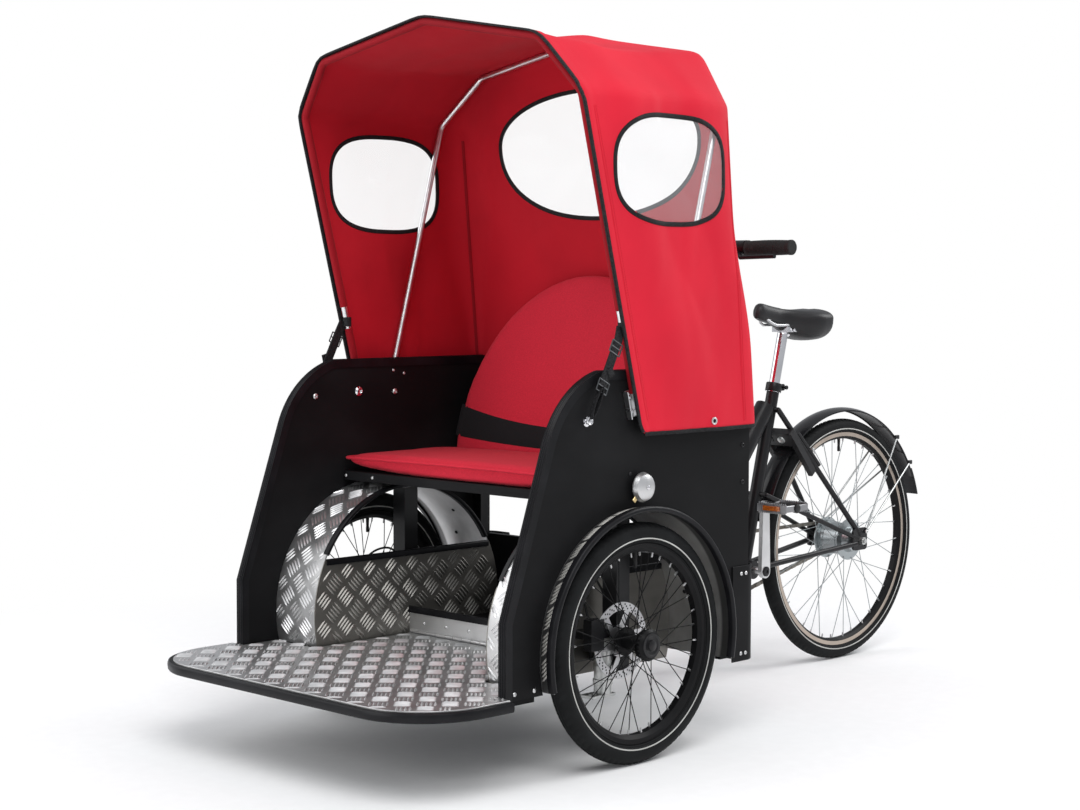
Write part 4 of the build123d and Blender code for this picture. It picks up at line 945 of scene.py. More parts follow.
def hood_skin(sag):
    """The uncut outer skin: a sagging tunnel closed by its rear wall, as one mesh with lengths for UVs."""
    arch = hood_arch()
    verts, faces, lengths = [], [], []
    run = [0.0]
    for (x0, z0), (x1, z1) in zip(arch, arch[1:]):
        run.append(run[-1] + math.hypot(x1 - x0, z1 - z0))
    for (x, z), u in zip(arch, run):
        for y in spread(hood_front_y(z), hood_rear_y(z), DEPTH_COLUMNS):
            verts.append(Vector((x, back(y), z)))
            lengths.append((u, y))
    columns, rows = DEPTH_COLUMNS + 1, len(arch)
    for r in range(rows - 1):
        for a in range(r * columns, r * columns + DEPTH_COLUMNS):
            faces.append((a, a + columns, a + columns + 1, a + 1))
    # rear wall: its left and right columns and its top row are the tunnel's rear edge
    last = [r * columns + DEPTH_COLUMNS for r in range(rows)]
    tops = last[SIDE_ROWS:rows - SIDE_ROWS]
    wall = [last[:SIDE_ROWS + 1]]
    for top in tops[1:-1]:
        column, x = [], verts[top].x
        for z in spread(HOOD_HEM, verts[top].z, SIDE_ROWS)[:-1]:
            column.append(len(verts))
            verts.append(Vector((x, back(hood_rear_y(z)), z)))
            lengths.append((x, z))
        wall.append(column + [top])
    wall.append(last[::-1][:SIDE_ROWS + 1])
    for one, two in zip(wall, wall[1:]):
        for r in range(SIDE_ROWS):
            faces.append((one[r], one[r + 1], two[r + 1], two[r]))
    verts = [turn_corner(v, k >= rows * columns) for k, v in enumerate(verts)]
    verts = relax(verts, faces, 7)
    return [v + hood_shift(v, sag) for v in verts], faces, lengths


def corner_radius(z):
    """Roundness of the hood's rear corner: tight over the boards, loose towards the shoulder."""
    return 0.034 + 0.062 * smooth((z - 0.84) / 0.30) - 0.070 * over_eave(z)


def turn_corner(v, on_wall):
    """Bends the square meeting of tunnel and rear wall into a quarter round."""
    x, z = abs(v.x), v.z
    depths = []
    for (x0, z0), (x1, z1), _ in HOOD_RUNS:
        long = math.hypot(x1 - x0, z1 - z0)
        inward = Vector((-(z1 - z0) / long, 0, (x1 - x0) / long))
        depths.append((abs((x - x0) * inward.x + (z - z0) * inward.z), inward))
    depth, inward = min(depths, key=lambda pair: pair[0])
    radius, rear = corner_radius(z), back(hood_rear_y(z))
    reach = depth if on_wall else rear - v.y
    if reach >= radius:
        return v
    turn = math.radians(45) * (1 - reach / radius)
    near, far = radius * (1 - math.cos(turn)), radius * (1 - math.sin(turn))
    move, y = (far - depth, rear - near) if on_wall else (near, rear - far)
    return Vector((v.x + math.copysign(1.0, v.x) * inward.x * move, y, z + inward.z * move))


def relax(verts, faces, rounds):
    """Rounds the corners: every point moves towards the middle of its neighbours, on a rim of those on it."""
    edges = {}
    for face in faces:
        for a, b in zip(face, face[1:] + face[:1]):
            edge = frozenset((a, b))
            edges[edge] = edges.get(edge, 0) + 1
    around, on_rim = [[] for _ in verts], [[] for _ in verts]
    for (a, b), uses in edges.items():
        for near in (around, on_rim) if uses == 1 else (around,):
            near[a].append(b)
            near[b].append(a)
    for _ in range(rounds):
        moved = []
        for v, near, rim in zip(verts, around, on_rim):
            near = rim or near
            moved.append(v.lerp(sum((verts[n] for n in near), Vector()) / len(near), 0.5))
        verts = moved
    return verts


def hood_shift(v, sag):
    """Dips, folds and the sleeve's swell, inwards and outwards of the plain form."""
    y, z = v.y - AXLE_Y, v.z
    front, rear = hood_front_y(min(z, HOOD_RIDGE)), hood_rear_y(min(z, HOOD_RIDGE))
    depth = unit((y - front) / max(0.05, rear - front))
    shift = Vector((0, 0, 0))
    if depth <= 0.985:
        bay, roof = math.sin(math.pi * min(1.0, depth * 1.06)) ** 1.2, over_eave(z)
        folds = noise.noise(Vector((v.x * 2.2, y * 7.0 + z * 2.2, z * 2.4 - y * 2.0)))
        fine = noise.noise(Vector((v.x * 5.0 + 9.0, y * 16.0 - z * 3.0, z * 5.0)))
        sleeve = 0.0026 * math.exp(-((y - front - SLEEVE / 2) / 0.011) ** 2)
        sleeve -= 0.0012 * math.exp(-((y - front - SLEEVE) / 0.004) ** 2)
        drape = max(0.0, 0.26 + folds) * 0.024 + max(0.0, fine) * 0.006
        shift.x = math.copysign(1.0, v.x) * (1 - roof) * (bay * drape + sleeve)
        shift.z = roof * (bay * (0.010 * folds + 0.003 * fine - sag) + sleeve)
    else:
        wide = max(0.0, 1 - (abs(v.x) / HOOD_X) ** 4)
        tall = math.sin(math.pi * unit((z - HOOD_HEM) / (HOOD_RIDGE - HOOD_HEM)))
        folds = noise.noise(Vector((v.x * 6.0, 3.0, z * 2.4 + v.x * 2.0)))
        shift.y = (0.008 * folds - 0.002) * wide * tall
    # the rear bow's peak holds the cloth up
    peak = Vector((v.x, y - hood_rear_y(HOOD_RIDGE), z - HOOD_RIDGE)) / 0.075
    return shift + Vector((0, 0.006, 0.0055)) * math.exp(-peak.length_squared)


class TRICYCLE_OT_hood(bpy.types.Operator):
    """Hood: one cloth sheet with bindings, clear windows, sleeve, seams, eyelets"""
    bl_idname = "tricycle.hood"
    bl_label = "Hood"

    def execute(self, context):
        look = context.scene.tricycle_look
        dress("bow", "hood_front_bow", "hood_rear_bow")
        verts, faces, lengths = hood_skin(look.hood_sag)
        self.tree = BVHTree.FromPolygons([tuple(v) for v in verts], faces)
        cloth = self.cloth(verts, faces, lengths)
        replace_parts(cloth, "hood_roof", "hood_rear", "hood_side_left", "hood_side_right")
        binding = self.bindings(look.binding)
        films = self.films()
        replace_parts(films, "hood_windows")
        seams = self.seams()
        eyelets = self.eyelets()
        self.sleeve()
        return {"FINISHED"}

    def touch(self, start, way, near):
        """Point and outward normal of the skin where a ray meets it, or else nearest to a place."""
        hit, normal, _, _ = self.tree.ray_cast(start, way)
        if hit is None:
            hit, normal, _, _ = self.tree.find_nearest(near)
        return hit, normal if normal.dot(way) < 0 else -normal

    def on_side(self, y, z, side):
        return self.touch(Vector((side * 0.6, y, z)), Vector((-side, 0, 0)), Vector((side * HOOD_X, y, z)))

    def on_rear(self, x, z):
        return self.touch(Vector((x, back(0.6), z)), Vector((0, -1, 0)), Vector((x, back(hood_rear_y(z)), z)))

    def cloth(self, verts, faces, lengths):
        """Cuts the windows out of the skin and gives it its thickness and lining."""
        def level(v):
            if v.y > back(hood_rear_y(v.z)) - CORNER and abs(v.x) < HOOD_X - CORNER:
                return rear_window(v.x, v.z)
            if abs(v.x) > EAVE_X and v.z < SHOULDER:
                return side_window(v.y, v.z)
            return math.inf

        levels = [level(v) for v in verts]
        kept = [face for face in faces if any(levels[k] >= 1 for k in face)]
        # points inside a window move out to its edge
        for k in {k for face in kept for k in face if levels[k] < 1}:
            v = verts[k]
            mid = Vector((v.x, back(SIDE_WINDOW["y"]), SIDE_WINDOW["z"]))
            if abs(v.x) < HOOD_X - CORNER:
                mid = Vector((0, v.y, REAR_WINDOW["z"]))
            verts[k] = mid + (v - mid) / max(levels[k], 0.2)
        used = sorted({k for face in kept for k in face})
        index = {k: n for n, k in enumerate(used)}
        mesh = bpy.data.meshes.new("hood_cloth")
        mesh.from_pydata([tuple(verts[k]) for k in used], [], [tuple(index[k] for k in face) for face in kept])
        uv = mesh.uv_layers.new(name="cut")
        for loop in mesh.loops:
            uv.data[loop.index].uv = lengths[used[loop.vertex_index]]
        for finish in ("hood", "lining"):
            mesh.materials.append(FINISHES[finish])
        mesh.shade_smooth()
        piece = bpy.data.objects.new("hood_cloth", mesh)
        bpy.context.scene.collection.objects.link(piece)
        work = bmesh.new()
        work.from_mesh(mesh)
        bmesh.ops.recalc_face_normals(work, faces=work.faces)
        top = max(work.faces, key=lambda face: face.calc_center_median().z)
        if top.normal.z < 0:
            bmesh.ops.reverse_faces(work, faces=work.faces)
        work.to_mesh(mesh)
        self.area = round(sum(face.calc_area() for face in work.faces), 2)
        work.free()
        solid = piece.modifiers.new("thickness", "SOLIDIFY")
        solid.thickness, solid.offset = 0.0016, -1.0
        solid.material_offset, solid.material_offset_rim = 1, 0
        apply(piece)
        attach(piece, "cabin")
        return piece

    def rings(self):
        """Outline of each window on the skin, as lists of (point, normal)."""
        w, r = SIDE_WINDOW, REAR_WINDOW
        ring = window_ring(side_window, (back(w["y"]), w["z"]), w["half_w"], w["half_h"])
        for _, side in SIDES:
            yield [self.on_side(y, z, side) for y, z in ring]
        yield [self.on_rear(x, z) for x, z in window_ring(rear_window, (0, r["z"]), r["half_w"], r["half_h"], 160)]

    def from_outside(self, place, way, reach):
        """Point and outward normal of the skin, seen against way from outside a place."""
        p, n, _, _ = self.tree.ray_cast(place + way * reach, -way)
        return p, n if p is None or n.dot(way) > 0 else -n

    def bindings(self, width):
        """Black tape folded over the front edge, the hem and the windows."""
        tape, sink = Batch(), 0.0008
        section = pill_section(width, 0.0046, 0.0016, 2)
        for ring in self.rings():
            mid = sum((p for p, _ in ring), Vector()) / len(ring)
            frames = []
            for (p, along), (_, n) in zip(tangents([p for p, _ in ring], closed=True), ring):
                out = n.cross(along).normalized()
                out = out if out.dot(p - mid) > 0 else -out
                frames.append((p + out * (width * 0.34) - n * sink, out, n))
            sweep(tape, frames, section, "binding", closed=True)
        edge = []
        for x, z in hood_arch()[::2]:
            y = back(hood_front_y(z)) + 0.004
            if z < SHOULDER - 0.03:
                p, n = self.on_side(y, z, math.copysign(1, x))
            else:
                p, n = self.from_outside(Vector((x, y, z)), Vector((x * 0.55, 0, 0.35)).normalized(), 0.3)
            if p:
                edge.append((p, n))
        frames = []
        for k, (p, _) in enumerate(edge):
            n = sum((near for _, near in edge[max(0, k - 2):k + 3]), Vector()).normalized()
            frames.append((p + Y * (width / 2 - 0.0055) - n * sink, Y, n))
        sweep(tape, frames, section, "binding")
        frames = [(p - Z * 0.0045 - n * sink, Z, n) for p, n in self.hem_line(0.006)]
        sweep(tape, frames, pill_section(width * 0.85, 0.0044, 0.0016, 2), "binding")
        return tape.piece("hood_binding", "cabin", "webbing")

    def hem_line(self, rise, step=0.015):
        """Points along the hem, from the left front round the rear to the right front."""
        z = HOOD_HEM + rise
        first, last = back(hood_front_y(z)) + 0.012, back(hood_rear_y(z)) - 0.040
        left = [self.on_side(y, z, 1) for y in spread(first, last, int((last - first) / step))]
        wide = HOOD_X - 0.030
        rear = [self.on_rear(x, z) for x in spread(wide, -wide, 48)]
        right = [(Vector((-p.x, p.y, p.z)), Vector((-n.x, n.y, n.z))) for p, n in reversed(left)]
        corners = []
        for side, start, end in ((1, left[-1], rear[0]), (-1, rear[-1], right[0])):
            mid = Vector((side * (HOOD_X - 0.045), back(hood_rear_y(z)) - 0.045, z))
            turn = [self.from_outside(mid, start[1].lerp(end[1], k / 6).normalized(), 0.2) for k in range(1, 6)]
            corners.append([(p, n) for p, n in turn if p])
        return left + corners[0] + rear + corners[1] + right

    def films(self):
        """Clear film in each window, slightly slack."""
        film, rings = Batch(), 10
        for ring in self.rings():
            mid, count, verts = sum((p for p, _ in ring), Vector()) / len(ring), len(ring), []
            normal = sum((n for _, n in ring), Vector()).normalized()
            for r in range(rings):
                share = 1.02 * (1 - r / rings)
                for p, _ in ring:
                    slack = 0.004 * (1 - share * share) * noise.noise(p * 7.0 + X * r * 0.2)
                    verts.append(mid.lerp(p, share) - normal * (0.0010 - slack))
            inner = len(verts) - count
            fan = [(inner + k, inner + (k + 1) % count, len(verts)) for k in range(count)]
            film.add(verts + [mid - normal * 0.001], shell(rings, count)[:-2] + fan, "film")
        return film.piece("hood_window_film", "cabin", "window_film")

    def seams(self):
        """Flat-felled seams down the rear corners and along the sleeve with stitches, and inner corner seams."""
        seam, lines, tall = Batch(), [], SHOULDER - HOOD_HEM
        drop = spread(HOOD_HEM + 0.015, HOOD_HEM + tall - 0.035, 60)
        sleeve = spread(HOOD_HEM + 0.03, HOOD_HEM + tall - 0.03, 60)
        for _, side in SIDES:
            lines.append([self.on_side(back(hood_rear_y(z)) - 0.058, z, side) for z in drop])
            lines.append([self.on_side(back(hood_front_y(z)) + SLEEVE, z, side) for z in sleeve])
        for line in lines:
            frames = []
            for (p, along), (_, n) in zip(tangents([p for p, _ in line]), line):
                frames.append((p + n * 0.0002, n.cross(along).normalized(), n))
            sweep(seam, frames, pill_section(0.009, 0.0016, 0.0007, 1), "hood")
            for (p, a, n), (q, _, _) in zip(frames, frames[1:]):
                for shift in (-0.0027, 0.0027):
                    for share in (0.1, 0.6):
                        stitch = [p.lerp(q, end) + a * shift + n * 0.001 for end in (share, share + 0.32)]
                        rod(seam, stitch, 0.0004, "lining", 5)
        # inner corner seams in the darker sleeve red: painted shade in the hood's rear corners
        for _, side in SIDES:
            frames, way = [], Vector((side, 1, 0)).normalized()
            for z in drop:
                corner = Vector((side * HOOD_X, back(hood_rear_y(z)), z))
                p, n = self.touch(corner - way * 0.25, way, corner)
                frames.append((p + n * 0.0022, Vector((n.y, -n.x, 0)).normalized(), n))
            sweep(seam, frames, pill_section(0.007, 0.0024, 0.0010, 1), "sleeve")
        return seam.piece("hood_seams", "cabin", "hood_cloth")

    def eyelets(self):
        ring = Batch()
        for _, side in SIDES:
            p, n = self.on_side(back(0.217), 0.699, side)
            lathe(ring, [(0.0002, 0.0085), (0.0016, 0.0080), (0.0022, 0.0062), (0.0016, 0.0046), (0.0004, 0.0042)],
                  p, n, "alloy", 20)
            lathe(ring, [(0.0005, 0.0043), (0.0006, 0.0)], p, n, "binding", 20)
        return ring.piece("hood_eyelets", "cabin", "zinc")

    def sleeve(self):
        """Lining round the front bow, open where the straps loop round it. Its red is darker than the lining: painted
        shade.
        """
        lo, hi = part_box("hood_front_bow")
        bow_x = (hi[0] - lo[0]) / 2 - 0.007
        setback, radius, steps = 0.012, 0.0088, 12
        foot, gap_low, gap_high = 0.766, 0.884, 0.934
        sleeve = Batch()

        def upright(z, side):
            return Vector((side * bow_x, back(hood_front_y(z) + setback), z))

        for _, side in SIDES:
            rod(sleeve, [upright(z, side) for z in spread(foot, gap_low, 2)], radius, "sleeve", steps)
        bend = upright(SHOULDER, 1)
        half = [upright(gap_high, 1), bend - Z * 0.0038, Vector((EAVE_X - 0.0055, bend.y - PEAK, EAVE - 0.0095))]
        line = half + [Vector((0, bend.y - PEAK, HOOD_RIDGE - 0.0105))]
        line += [Vector((-p.x, p.y, p.z)) for p in reversed(half)]
        rod(sleeve, round_corners(line, 0.011), radius, "sleeve", steps)
        sleeve.piece("hood_sleeve", "cabin", "hood_cloth")


def round_corners(points, reach, count=6):
    """Points of a bent line, with each corner turned into a short curve."""
    line = [points[0]]
    for before, corner, after in zip(points, points[1:], points[2:]):
        a = corner + (before - corner).normalized() * reach
        b = corner + (after - corner).normalized() * reach
        line += [a.lerp(corner, k / count).lerp(corner.lerp(b, k / count), k / count) for k in range(count + 1)]
    return line + [points[-1]]


def apply(piece):
    """Replaces a piece's mesh by what its modifiers make of it."""
    made = bpy.data.meshes.new_from_object(piece.evaluated_get(bpy.context.evaluated_depsgraph_get()))
    piece.modifiers.clear()
    piece.data = made


# Straps

STRAP_TOP_Z, STRAP_EYE = 0.899, (-0.151, 0.719)


def ribbon(batch, points, across, width, thick, finish="webbing"):
    """Flat tape through points, its width along across."""
    frames = []
    for p, along in tangents(points):
        a = (across - along * across.dot(along)).normalized()
        frames.append((p, a, a.cross(along).normalized()))
    sweep(batch, frames, pill_section(width, thick, thick * 0.4, 1), finish)


class TRICYCLE_OT_straps(bpy.types.Operator):
    """Tie-down straps: webbing, ladder buckles, eye bolts and the bow's brackets"""
    bl_idname = "tricycle.straps"
    bl_label = "Tie-down straps"

    def execute(self, context):
        width, thick, bow_r = 0.022, 0.0018, 0.0092
        for name, side in SIDES:
            strap, metal = Batch(), Batch()
            out = X * side
            bow = Vector((side * (HOOD_X - 0.0103), back(hood_front_y(STRAP_TOP_Z) + 0.012), STRAP_TOP_Z))
            top = bow + Vector((side * 0.004, -0.014, -0.014))
            eye = Vector((side * (PANEL_OUT + 0.012), back(STRAP_EYE[0]), STRAP_EYE[1]))
            along = (eye - top).normalized()
            across = along.cross(out).normalized()
            loop = [Y * a + out * b for a, b in arc((0, 0), 1.0, 20, 340, 16)]
            sweep(strap, [(bow + p * bow_r, Z, p) for p in loop], pill_section(width, thick, 0.0007, 1), "webbing")
            for lift in (0.001, 0.0034):
                run = [bow - Y * bow_r] + [top.lerp(eye, share) for share in spread(0.06, 0.62, 8)]
                ribbon(strap, [p + out * lift for p in run], across, width, thick)
            for gap in (-0.006, 0.006):
                low_end = [top.lerp(eye, 0.62 + 0.38 * s) + across * gap * math.sin(math.pi * s) ** 0.7 + out * 0.002
                           for s in (k / 9 for k in range(10))]
                ribbon(strap, low_end, out, 0.012, thick)
            tail = [top.lerp(eye, 0.40) + out * 0.005 + (along * 0.012 - across * 0.014) * k / 4 for k in range(5)]
            ribbon(strap, tail, along + across * 0.5, 0.018, 0.0016)
            for share in (0.16, 0.62):
                self.buckle(metal, top.lerp(eye, share) + out * 0.0035, across, along)
            piece = strap.piece(f"tie_strap_{name}", "cabin", "webbing")
            if side > 0:
                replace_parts(piece, "hood_straps")
            self.eye_bolt(metal, eye, along, across, out)
            self.bracket(metal, side)
            metal.piece(f"strap_fittings_{name}", "cabin", "zinc")
        return {"FINISHED"}

    def buckle(self, metal, mid, across, along):
        """Flat wire frame with a middle bar."""
        half_w, half_l = across * 0.0155, along * 0.012
        corners = [mid + half_w * a + half_l * b for a, b in ((1, 1), (-1, 1), (-1, -1), (1, -1))]
        for ends in [*zip(corners, corners[1:] + corners[:1]), (mid - half_w, mid + half_w)]:
            rod(metal, ends, 0.0015, "buckle", 8)

    def eye_bolt(self, metal, eye, along, across, out):
        ring = [eye + along * 0.004 + across * a + along * b for a, b in arc((0, 0), 0.007, 0, 360, 20)]
        rod(metal, ring, 0.0022, "chrome", 8)
        foot = Vector((math.copysign(PANEL_OUT, eye.x), eye.y, eye.z - 0.006))
        lathe(metal, [(0, 0.010), (0.002, 0.010), (0.0025, 0.006), (0.012, 0.0045), (0.014, 0)], foot, out, "chrome",
              16)

    def bracket(self, metal, side):
        """Folded plate on the board's outside that holds the bow's foot."""
        out, tall = X * side, 0.058
        lean = Vector((0, -FRONT_RAKE, 1)).normalized()
        mid = Vector((side * (PANEL_OUT + 0.0005), back(-0.026), 0.743))
        wide = lean.cross(out).normalized()
        slab(metal, mid + out * 0.0015, (0.024, tall, 0.003), "bow", 0.0006, (wide, lean, out))
        for edge in (1, -1):
            slab(metal, mid + wide * edge * 0.0108 + out * 0.008, (0.0024, tall, 0.013), "bow", 0.0005,
                 (wide, lean, out))
        for shift in (-0.016, 0.014):
            bolt(metal, mid + out * 0.003 + lean * shift, out, 0.006, "chrome", 0.004)


# Seat

def cloth_pad(name, verts, faces, finish, voxel, cap, pressure):
    """Closed form swollen by a cloth simulation and smoothed, with its points kept near where they began."""
    mesh = bpy.data.meshes.new(name)
    mesh.from_pydata([tuple(v) for v in verts], [], faces)
    piece = bpy.data.objects.new(name, mesh)
    bpy.context.scene.collection.objects.link(piece)
    remesh = piece.modifiers.new("even", "REMESH")
    remesh.mode, remesh.voxel_size = "VOXEL", voxel
    apply(piece)
    start = [v.co.copy() for v in piece.data.vertices]
    cloth = piece.modifiers.new("swell", "CLOTH")
    cloth.settings.use_pressure = True
    cloth.settings.uniform_pressure_force = pressure
    cloth.settings.effector_weights.gravity = 0.0
    cloth.settings.tension_stiffness = cloth.settings.compression_stiffness = 18
    cloth.settings.bending_stiffness = 1.2
    cloth.point_cache.frame_start, cloth.point_cache.frame_end = 1, 20
    scene = bpy.context.scene
    for frame in range(1, 21):
        scene.frame_set(frame)
    apply(piece)
    scene.frame_set(1)
    for v, old in zip(piece.data.vertices, start):
        move = v.co - old
        if move.length > cap:
            v.co = old + move * (cap / move.length)
    piece.data.materials.clear()
    piece.data.materials.append(FINISHES[finish])
    piece.data.shade_smooth()
    return piece


def pad_form(outline, lift, layers=5, steps=6):
    """Closed pad: an outline of (s, t) points, shrinking towards both faces, mapped by lift(s, t, share)."""
    n = len(outline)
    mid_s, mid_t = sum(s for s, _ in outline) / n, sum(t for _, t in outline) / n

    def ring(size, share):
        return [lift(mid_s + (s - mid_s) * size, mid_t + (t - mid_t) * size, share) for s, t in outline]

    turns = [math.radians(turn) for turn in spread(-90, 90, layers - 1)]
    rows = [(1 - 0.018 * (1 - math.cos(turn)), math.sin(turn) * 0.5 + 0.5) for turn in turns]
    verts = [v for size, share in rows for v in ring(size, share)]
    faces = shell(layers, n)[:-2]
    for edge, (size, share) in ((0, rows[0]), ((layers - 1) * n, rows[-1])):
        rings = [edge] + [len(verts) + j * n for j in range(steps - 1)]
        for j in range(1, steps):
            verts += ring(size * (1 - j / steps), share)
        cap = []
        for one, two in zip(rings, rings[1:]):
            cap += [(one + k, one + (k + 1) % n, two + (k + 1) % n, two + k) for k in range(n)]
        cap += [(rings[-1] + k, rings[-1] + (k + 1) % n, len(verts)) for k in range(n)]
        verts.append(lift(mid_s, mid_t, share))
        faces += cap if edge else flipped(cap)
    return verts, faces


def rounded_outline(half_w, front, rear, front_r, rear_r, count=10):
    """Pad's plan from its left rear corner round: straight sides cut into short steps, round corners."""
    points, outline = [], []
    for cx, cy, start, r in ((half_w - rear_r, rear - rear_r, 0, rear_r), (rear_r - half_w, rear - rear_r, 90, rear_r),
                             (front_r - half_w, front + front_r, 180, front_r),
                             (half_w - front_r, front + front_r, 270, front_r)):
        points += arc((cx, cy), r, start, start + 90, count)
    for one, two in zip(points, points[1:] + points[:1]):
        pieces = max(1, int(math.dist(one, two) / 0.03))
        outline += list(zip(spread(one[0], two[0], pieces), spread(one[1], two[1], pieces)))[:-1]
    return outline


class TRICYCLE_OT_cushions(bpy.types.Operator):
    """Seat pad with piping and half-round backrest with a black band, in swollen cloth"""
    bl_idname = "tricycle.cushions"
    bl_label = "Cushions"

    def execute(self, context):
        self.seat()
        self.backrest()
        return {"FINISHED"}

    def seat(self):
        lo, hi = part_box("seat_cushion")
        half, thick = hi[0] - 0.004, hi[2] - lo[2] - 0.010
        front, rear = lo[1] + 0.012, hi[1] - 0.004
        outline = rounded_outline(half, front - 0.006, rear, 0.030, 0.020)

        def lift(s, t, share):
            tip = (abs(s) / half) ** 2.6 * unit((rear - t) / (rear - front)) ** 2
            crown = 0.006 * share * (1 - (s / half) ** 2)
            return Vector((s, t, lo[2] + 0.0035 + share * thick * (1 - 0.80 * tip) + crown + 0.022 * tip))

        pad = cloth_pad("seat_pad", *pad_form(outline, lift), "seat", 0.006, 0.007, 3.0)
        for v in pad.data.vertices:
            v.co.z = max(v.co.z, lo[2] + 0.0005)
        finish_pad(pad, "seat_cushion")
        piping = Batch()
        ring = [lift(s * 0.998, t, 0.86) for s, t in outline]
        sweep(piping, path_frames(ring, Z, closed=True), round_section(0.0032, 8), "seat", closed=True)
        piping.piece("seat_piping", "cabin", "cushion_cloth")

    def backrest(self):
        foot = Vector((0, back(0.236), high("seat_board").z))
        lean = Matrix.Rotation(math.radians(-9.5), 3, "X")
        half_w, rise, drop, thick, base, inset = 0.392, 0.427, -0.040, 0.024, 0.012, 0.994
        begin = math.asin((base + drop) / rise)
        outline = [(half_w * math.cos(turn) * inset, rise * math.sin(turn) * inset - drop)
                   for turn in spread(begin, math.pi - begin, 60)]
        outline += [(s, base) for s in spread(outline[-1][0], outline[0][0], 24)[1:-1]]

        def lift(s, t, share):
            inward = max(0.0, 1 - (s / half_w) ** 2 - ((t + drop) / rise) ** 2)
            crown = 0.007 * share * min(1.0, inward * 2.5)
            return foot + lean @ Vector((s, 0.022 - share * (thick - 0.004) - crown, t))

        pad = cloth_pad("backrest_pad", *pad_form(outline, lift), "backrest", 0.006, 0.006, 3.0)
        finish_pad(pad, "backrest_cushion")
        self.band(lift, half_w, rise, drop, pad)

    def band(self, lift, half_w, rise, drop, pad):
        """Black band across the backrest's lower part, lying on the pad."""
        tree = BVHTree.FromPolygons([tuple(v.co) for v in pad.data.vertices],
                                    [tuple(p.vertices) for p in pad.data.polygons])
        rows, columns = 8, 60
        low_end, high_end = (0.068, 0.050), (0.144, 0.100)
        verts = []
        for r in range(rows + 1):
            share = r / rows
            for c in range(columns + 1):
                across = 2 * c / columns - 1
                ends, middle = (a + (b - a) * share for a, b in zip(low_end, high_end))
                t = middle + (ends - middle) * across * across
                wide = half_w * math.sqrt(1 - ((t + drop) / rise) ** 2) * 0.988
                guess = lift(wide * across, t, 1.0)
                hit, _, _, _ = tree.ray_cast(guess - Y * 0.2, Y)
                p = hit if hit else guess
                edge = min(r, rows - r, 2) / 2 * min(1.0, min(c, columns - c) / 2)
                verts.append(p - Y * (0.0002 + 0.0022 * edge))
        n = columns + 1
        faces = [(r * n + c, r * n + c + 1, (r + 1) * n + c + 1, (r + 1) * n + c)
                 for r in range(rows) for c in range(columns)]
        band = Batch()
        band.add(verts, faces, "band")
        band.piece("backrest_band", "cabin", "cushion_cloth")


def finish_pad(pad, node):
    smooth = pad.modifiers.new("even", "SMOOTH")
    smooth.factor, smooth.iterations = 0.5, 4
    fine = pad.modifiers.new("fine", "SUBSURF")
    fine.levels = fine.render_levels = 1
    apply(pad)
    pad.data.shade_smooth()
    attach(pad, "cabin")
    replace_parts(pad, node)


# Wheels

ALL_ROUND = spread(0, 360, 96)[:-1]
SPOKES = 36


def tread(x, turn, half, grooves, depth):
    """Depth of the tread's grooves at a place across and round the tyre."""
    edge = abs(x) / half
    if edge > 0.86:
        return 0.0
    cut = (turn * grooves / 360 + edge * 0.9) % 1.0
    groove = max(0.0, 1 - abs(cut - 0.5) / 0.16) if edge > 0.22 else 0.0
    ring = max(0.0, 1 - abs(edge - 0.16) / 0.05)
    return depth * max(min(1.0, groove * 2), min(1.0, ring * 1.5))


def tyre(name, mid, radius, section_w, section_h, grooves, body, line_r):
    """Tyre with a grooved tread, a beaded sidewall and a pale line."""
    half, seat_r, segments, count = section_w / 2, radius - section_h, grooves * 6, 40
    centre_r = radius - half
    flare = math.degrees(math.acos((seat_r - centre_r) / half)) if abs(seat_r - centre_r) < half else 150

    def side_x(r):
        return half * math.sqrt(max(0.0, 1 - ((r - centre_r) / half) ** 2))

    profile = []
    for turn in spread(-flare, flare, count):
        out, along = math.cos(math.radians(turn)), math.sin(math.radians(turn))
        profile.append((half * along * (0.985 if abs(turn) > 62 else 1.0), centre_r + half * out))
    verts = []
    for turn in spread(0, 360, segments)[:-1]:
        out = radial(turn)
        for x, r in profile:
            cut = tread(x, turn, half * 0.92, grooves, 0.0016) if r > centre_r + half * 0.35 else 0.0
            verts.append(mid + X * x + out * (r - cut))

    def under_line(k):
        """Whether the pale line's own strip takes the place of the faces after point k of the profile."""
        near = k < count and abs((profile[k][1] + profile[k + 1][1]) / 2 - line_r) < 0.0014
        return near and abs(profile[k][0]) > half * 0.5

    n = count + 1
    shape = Batch()
    faces = [(a, d, c, b) for a, b, c, d in shell(segments, n, closed=True) if not under_line(a % n)]
    shape.add(verts, faces, "tyre")
    piece = shape.piece(name, body, "tyre", 50)
    trims, bead_r = Batch(), seat_r + 0.006
    for side in (1, -1):
        for r, x, size, finish in ((line_r, side_x(line_r) * 0.985 + 0.0001, (0.0030, 0.0012, 0.0005, 1), "line"),
                                   (bead_r, side_x(bead_r), (0.004, 0.002, 0.0009, 1), "tyre")):
            sweep(trims, hoop(mid + X * side * x, r, ALL_ROUND, X * side), pill_section(*size), finish, closed=True)
    trims.piece(name + "_line", body, "tyre")
    return piece


def nipples(batch, mid, rim_inner, lead_x=0.003):
    """Spoke nipples in the rim's inner wall."""
    for k, out in enumerate(spokes(SPOKES, 0.5)):
        at = mid + X * (lead_x if k % 2 else -lead_x) + out * (rim_inner + 0.001)
        lathe(batch, [(0, 0.0024), (0.009, 0.0021), (0.011, 0.0013), (0.0112, 0)], at, -out, "alloy", 8)


def valve(batch, mid, rim_inner):
    lathe(batch, [(0, 0.0042), (0.004, 0.0040), (0.018, 0.0034), (0.024, 0.0040), (0.033, 0.0038), (0.034, 0)],
          mid + Z * (rim_inner - 0.0005), -Z, "grip", 12)


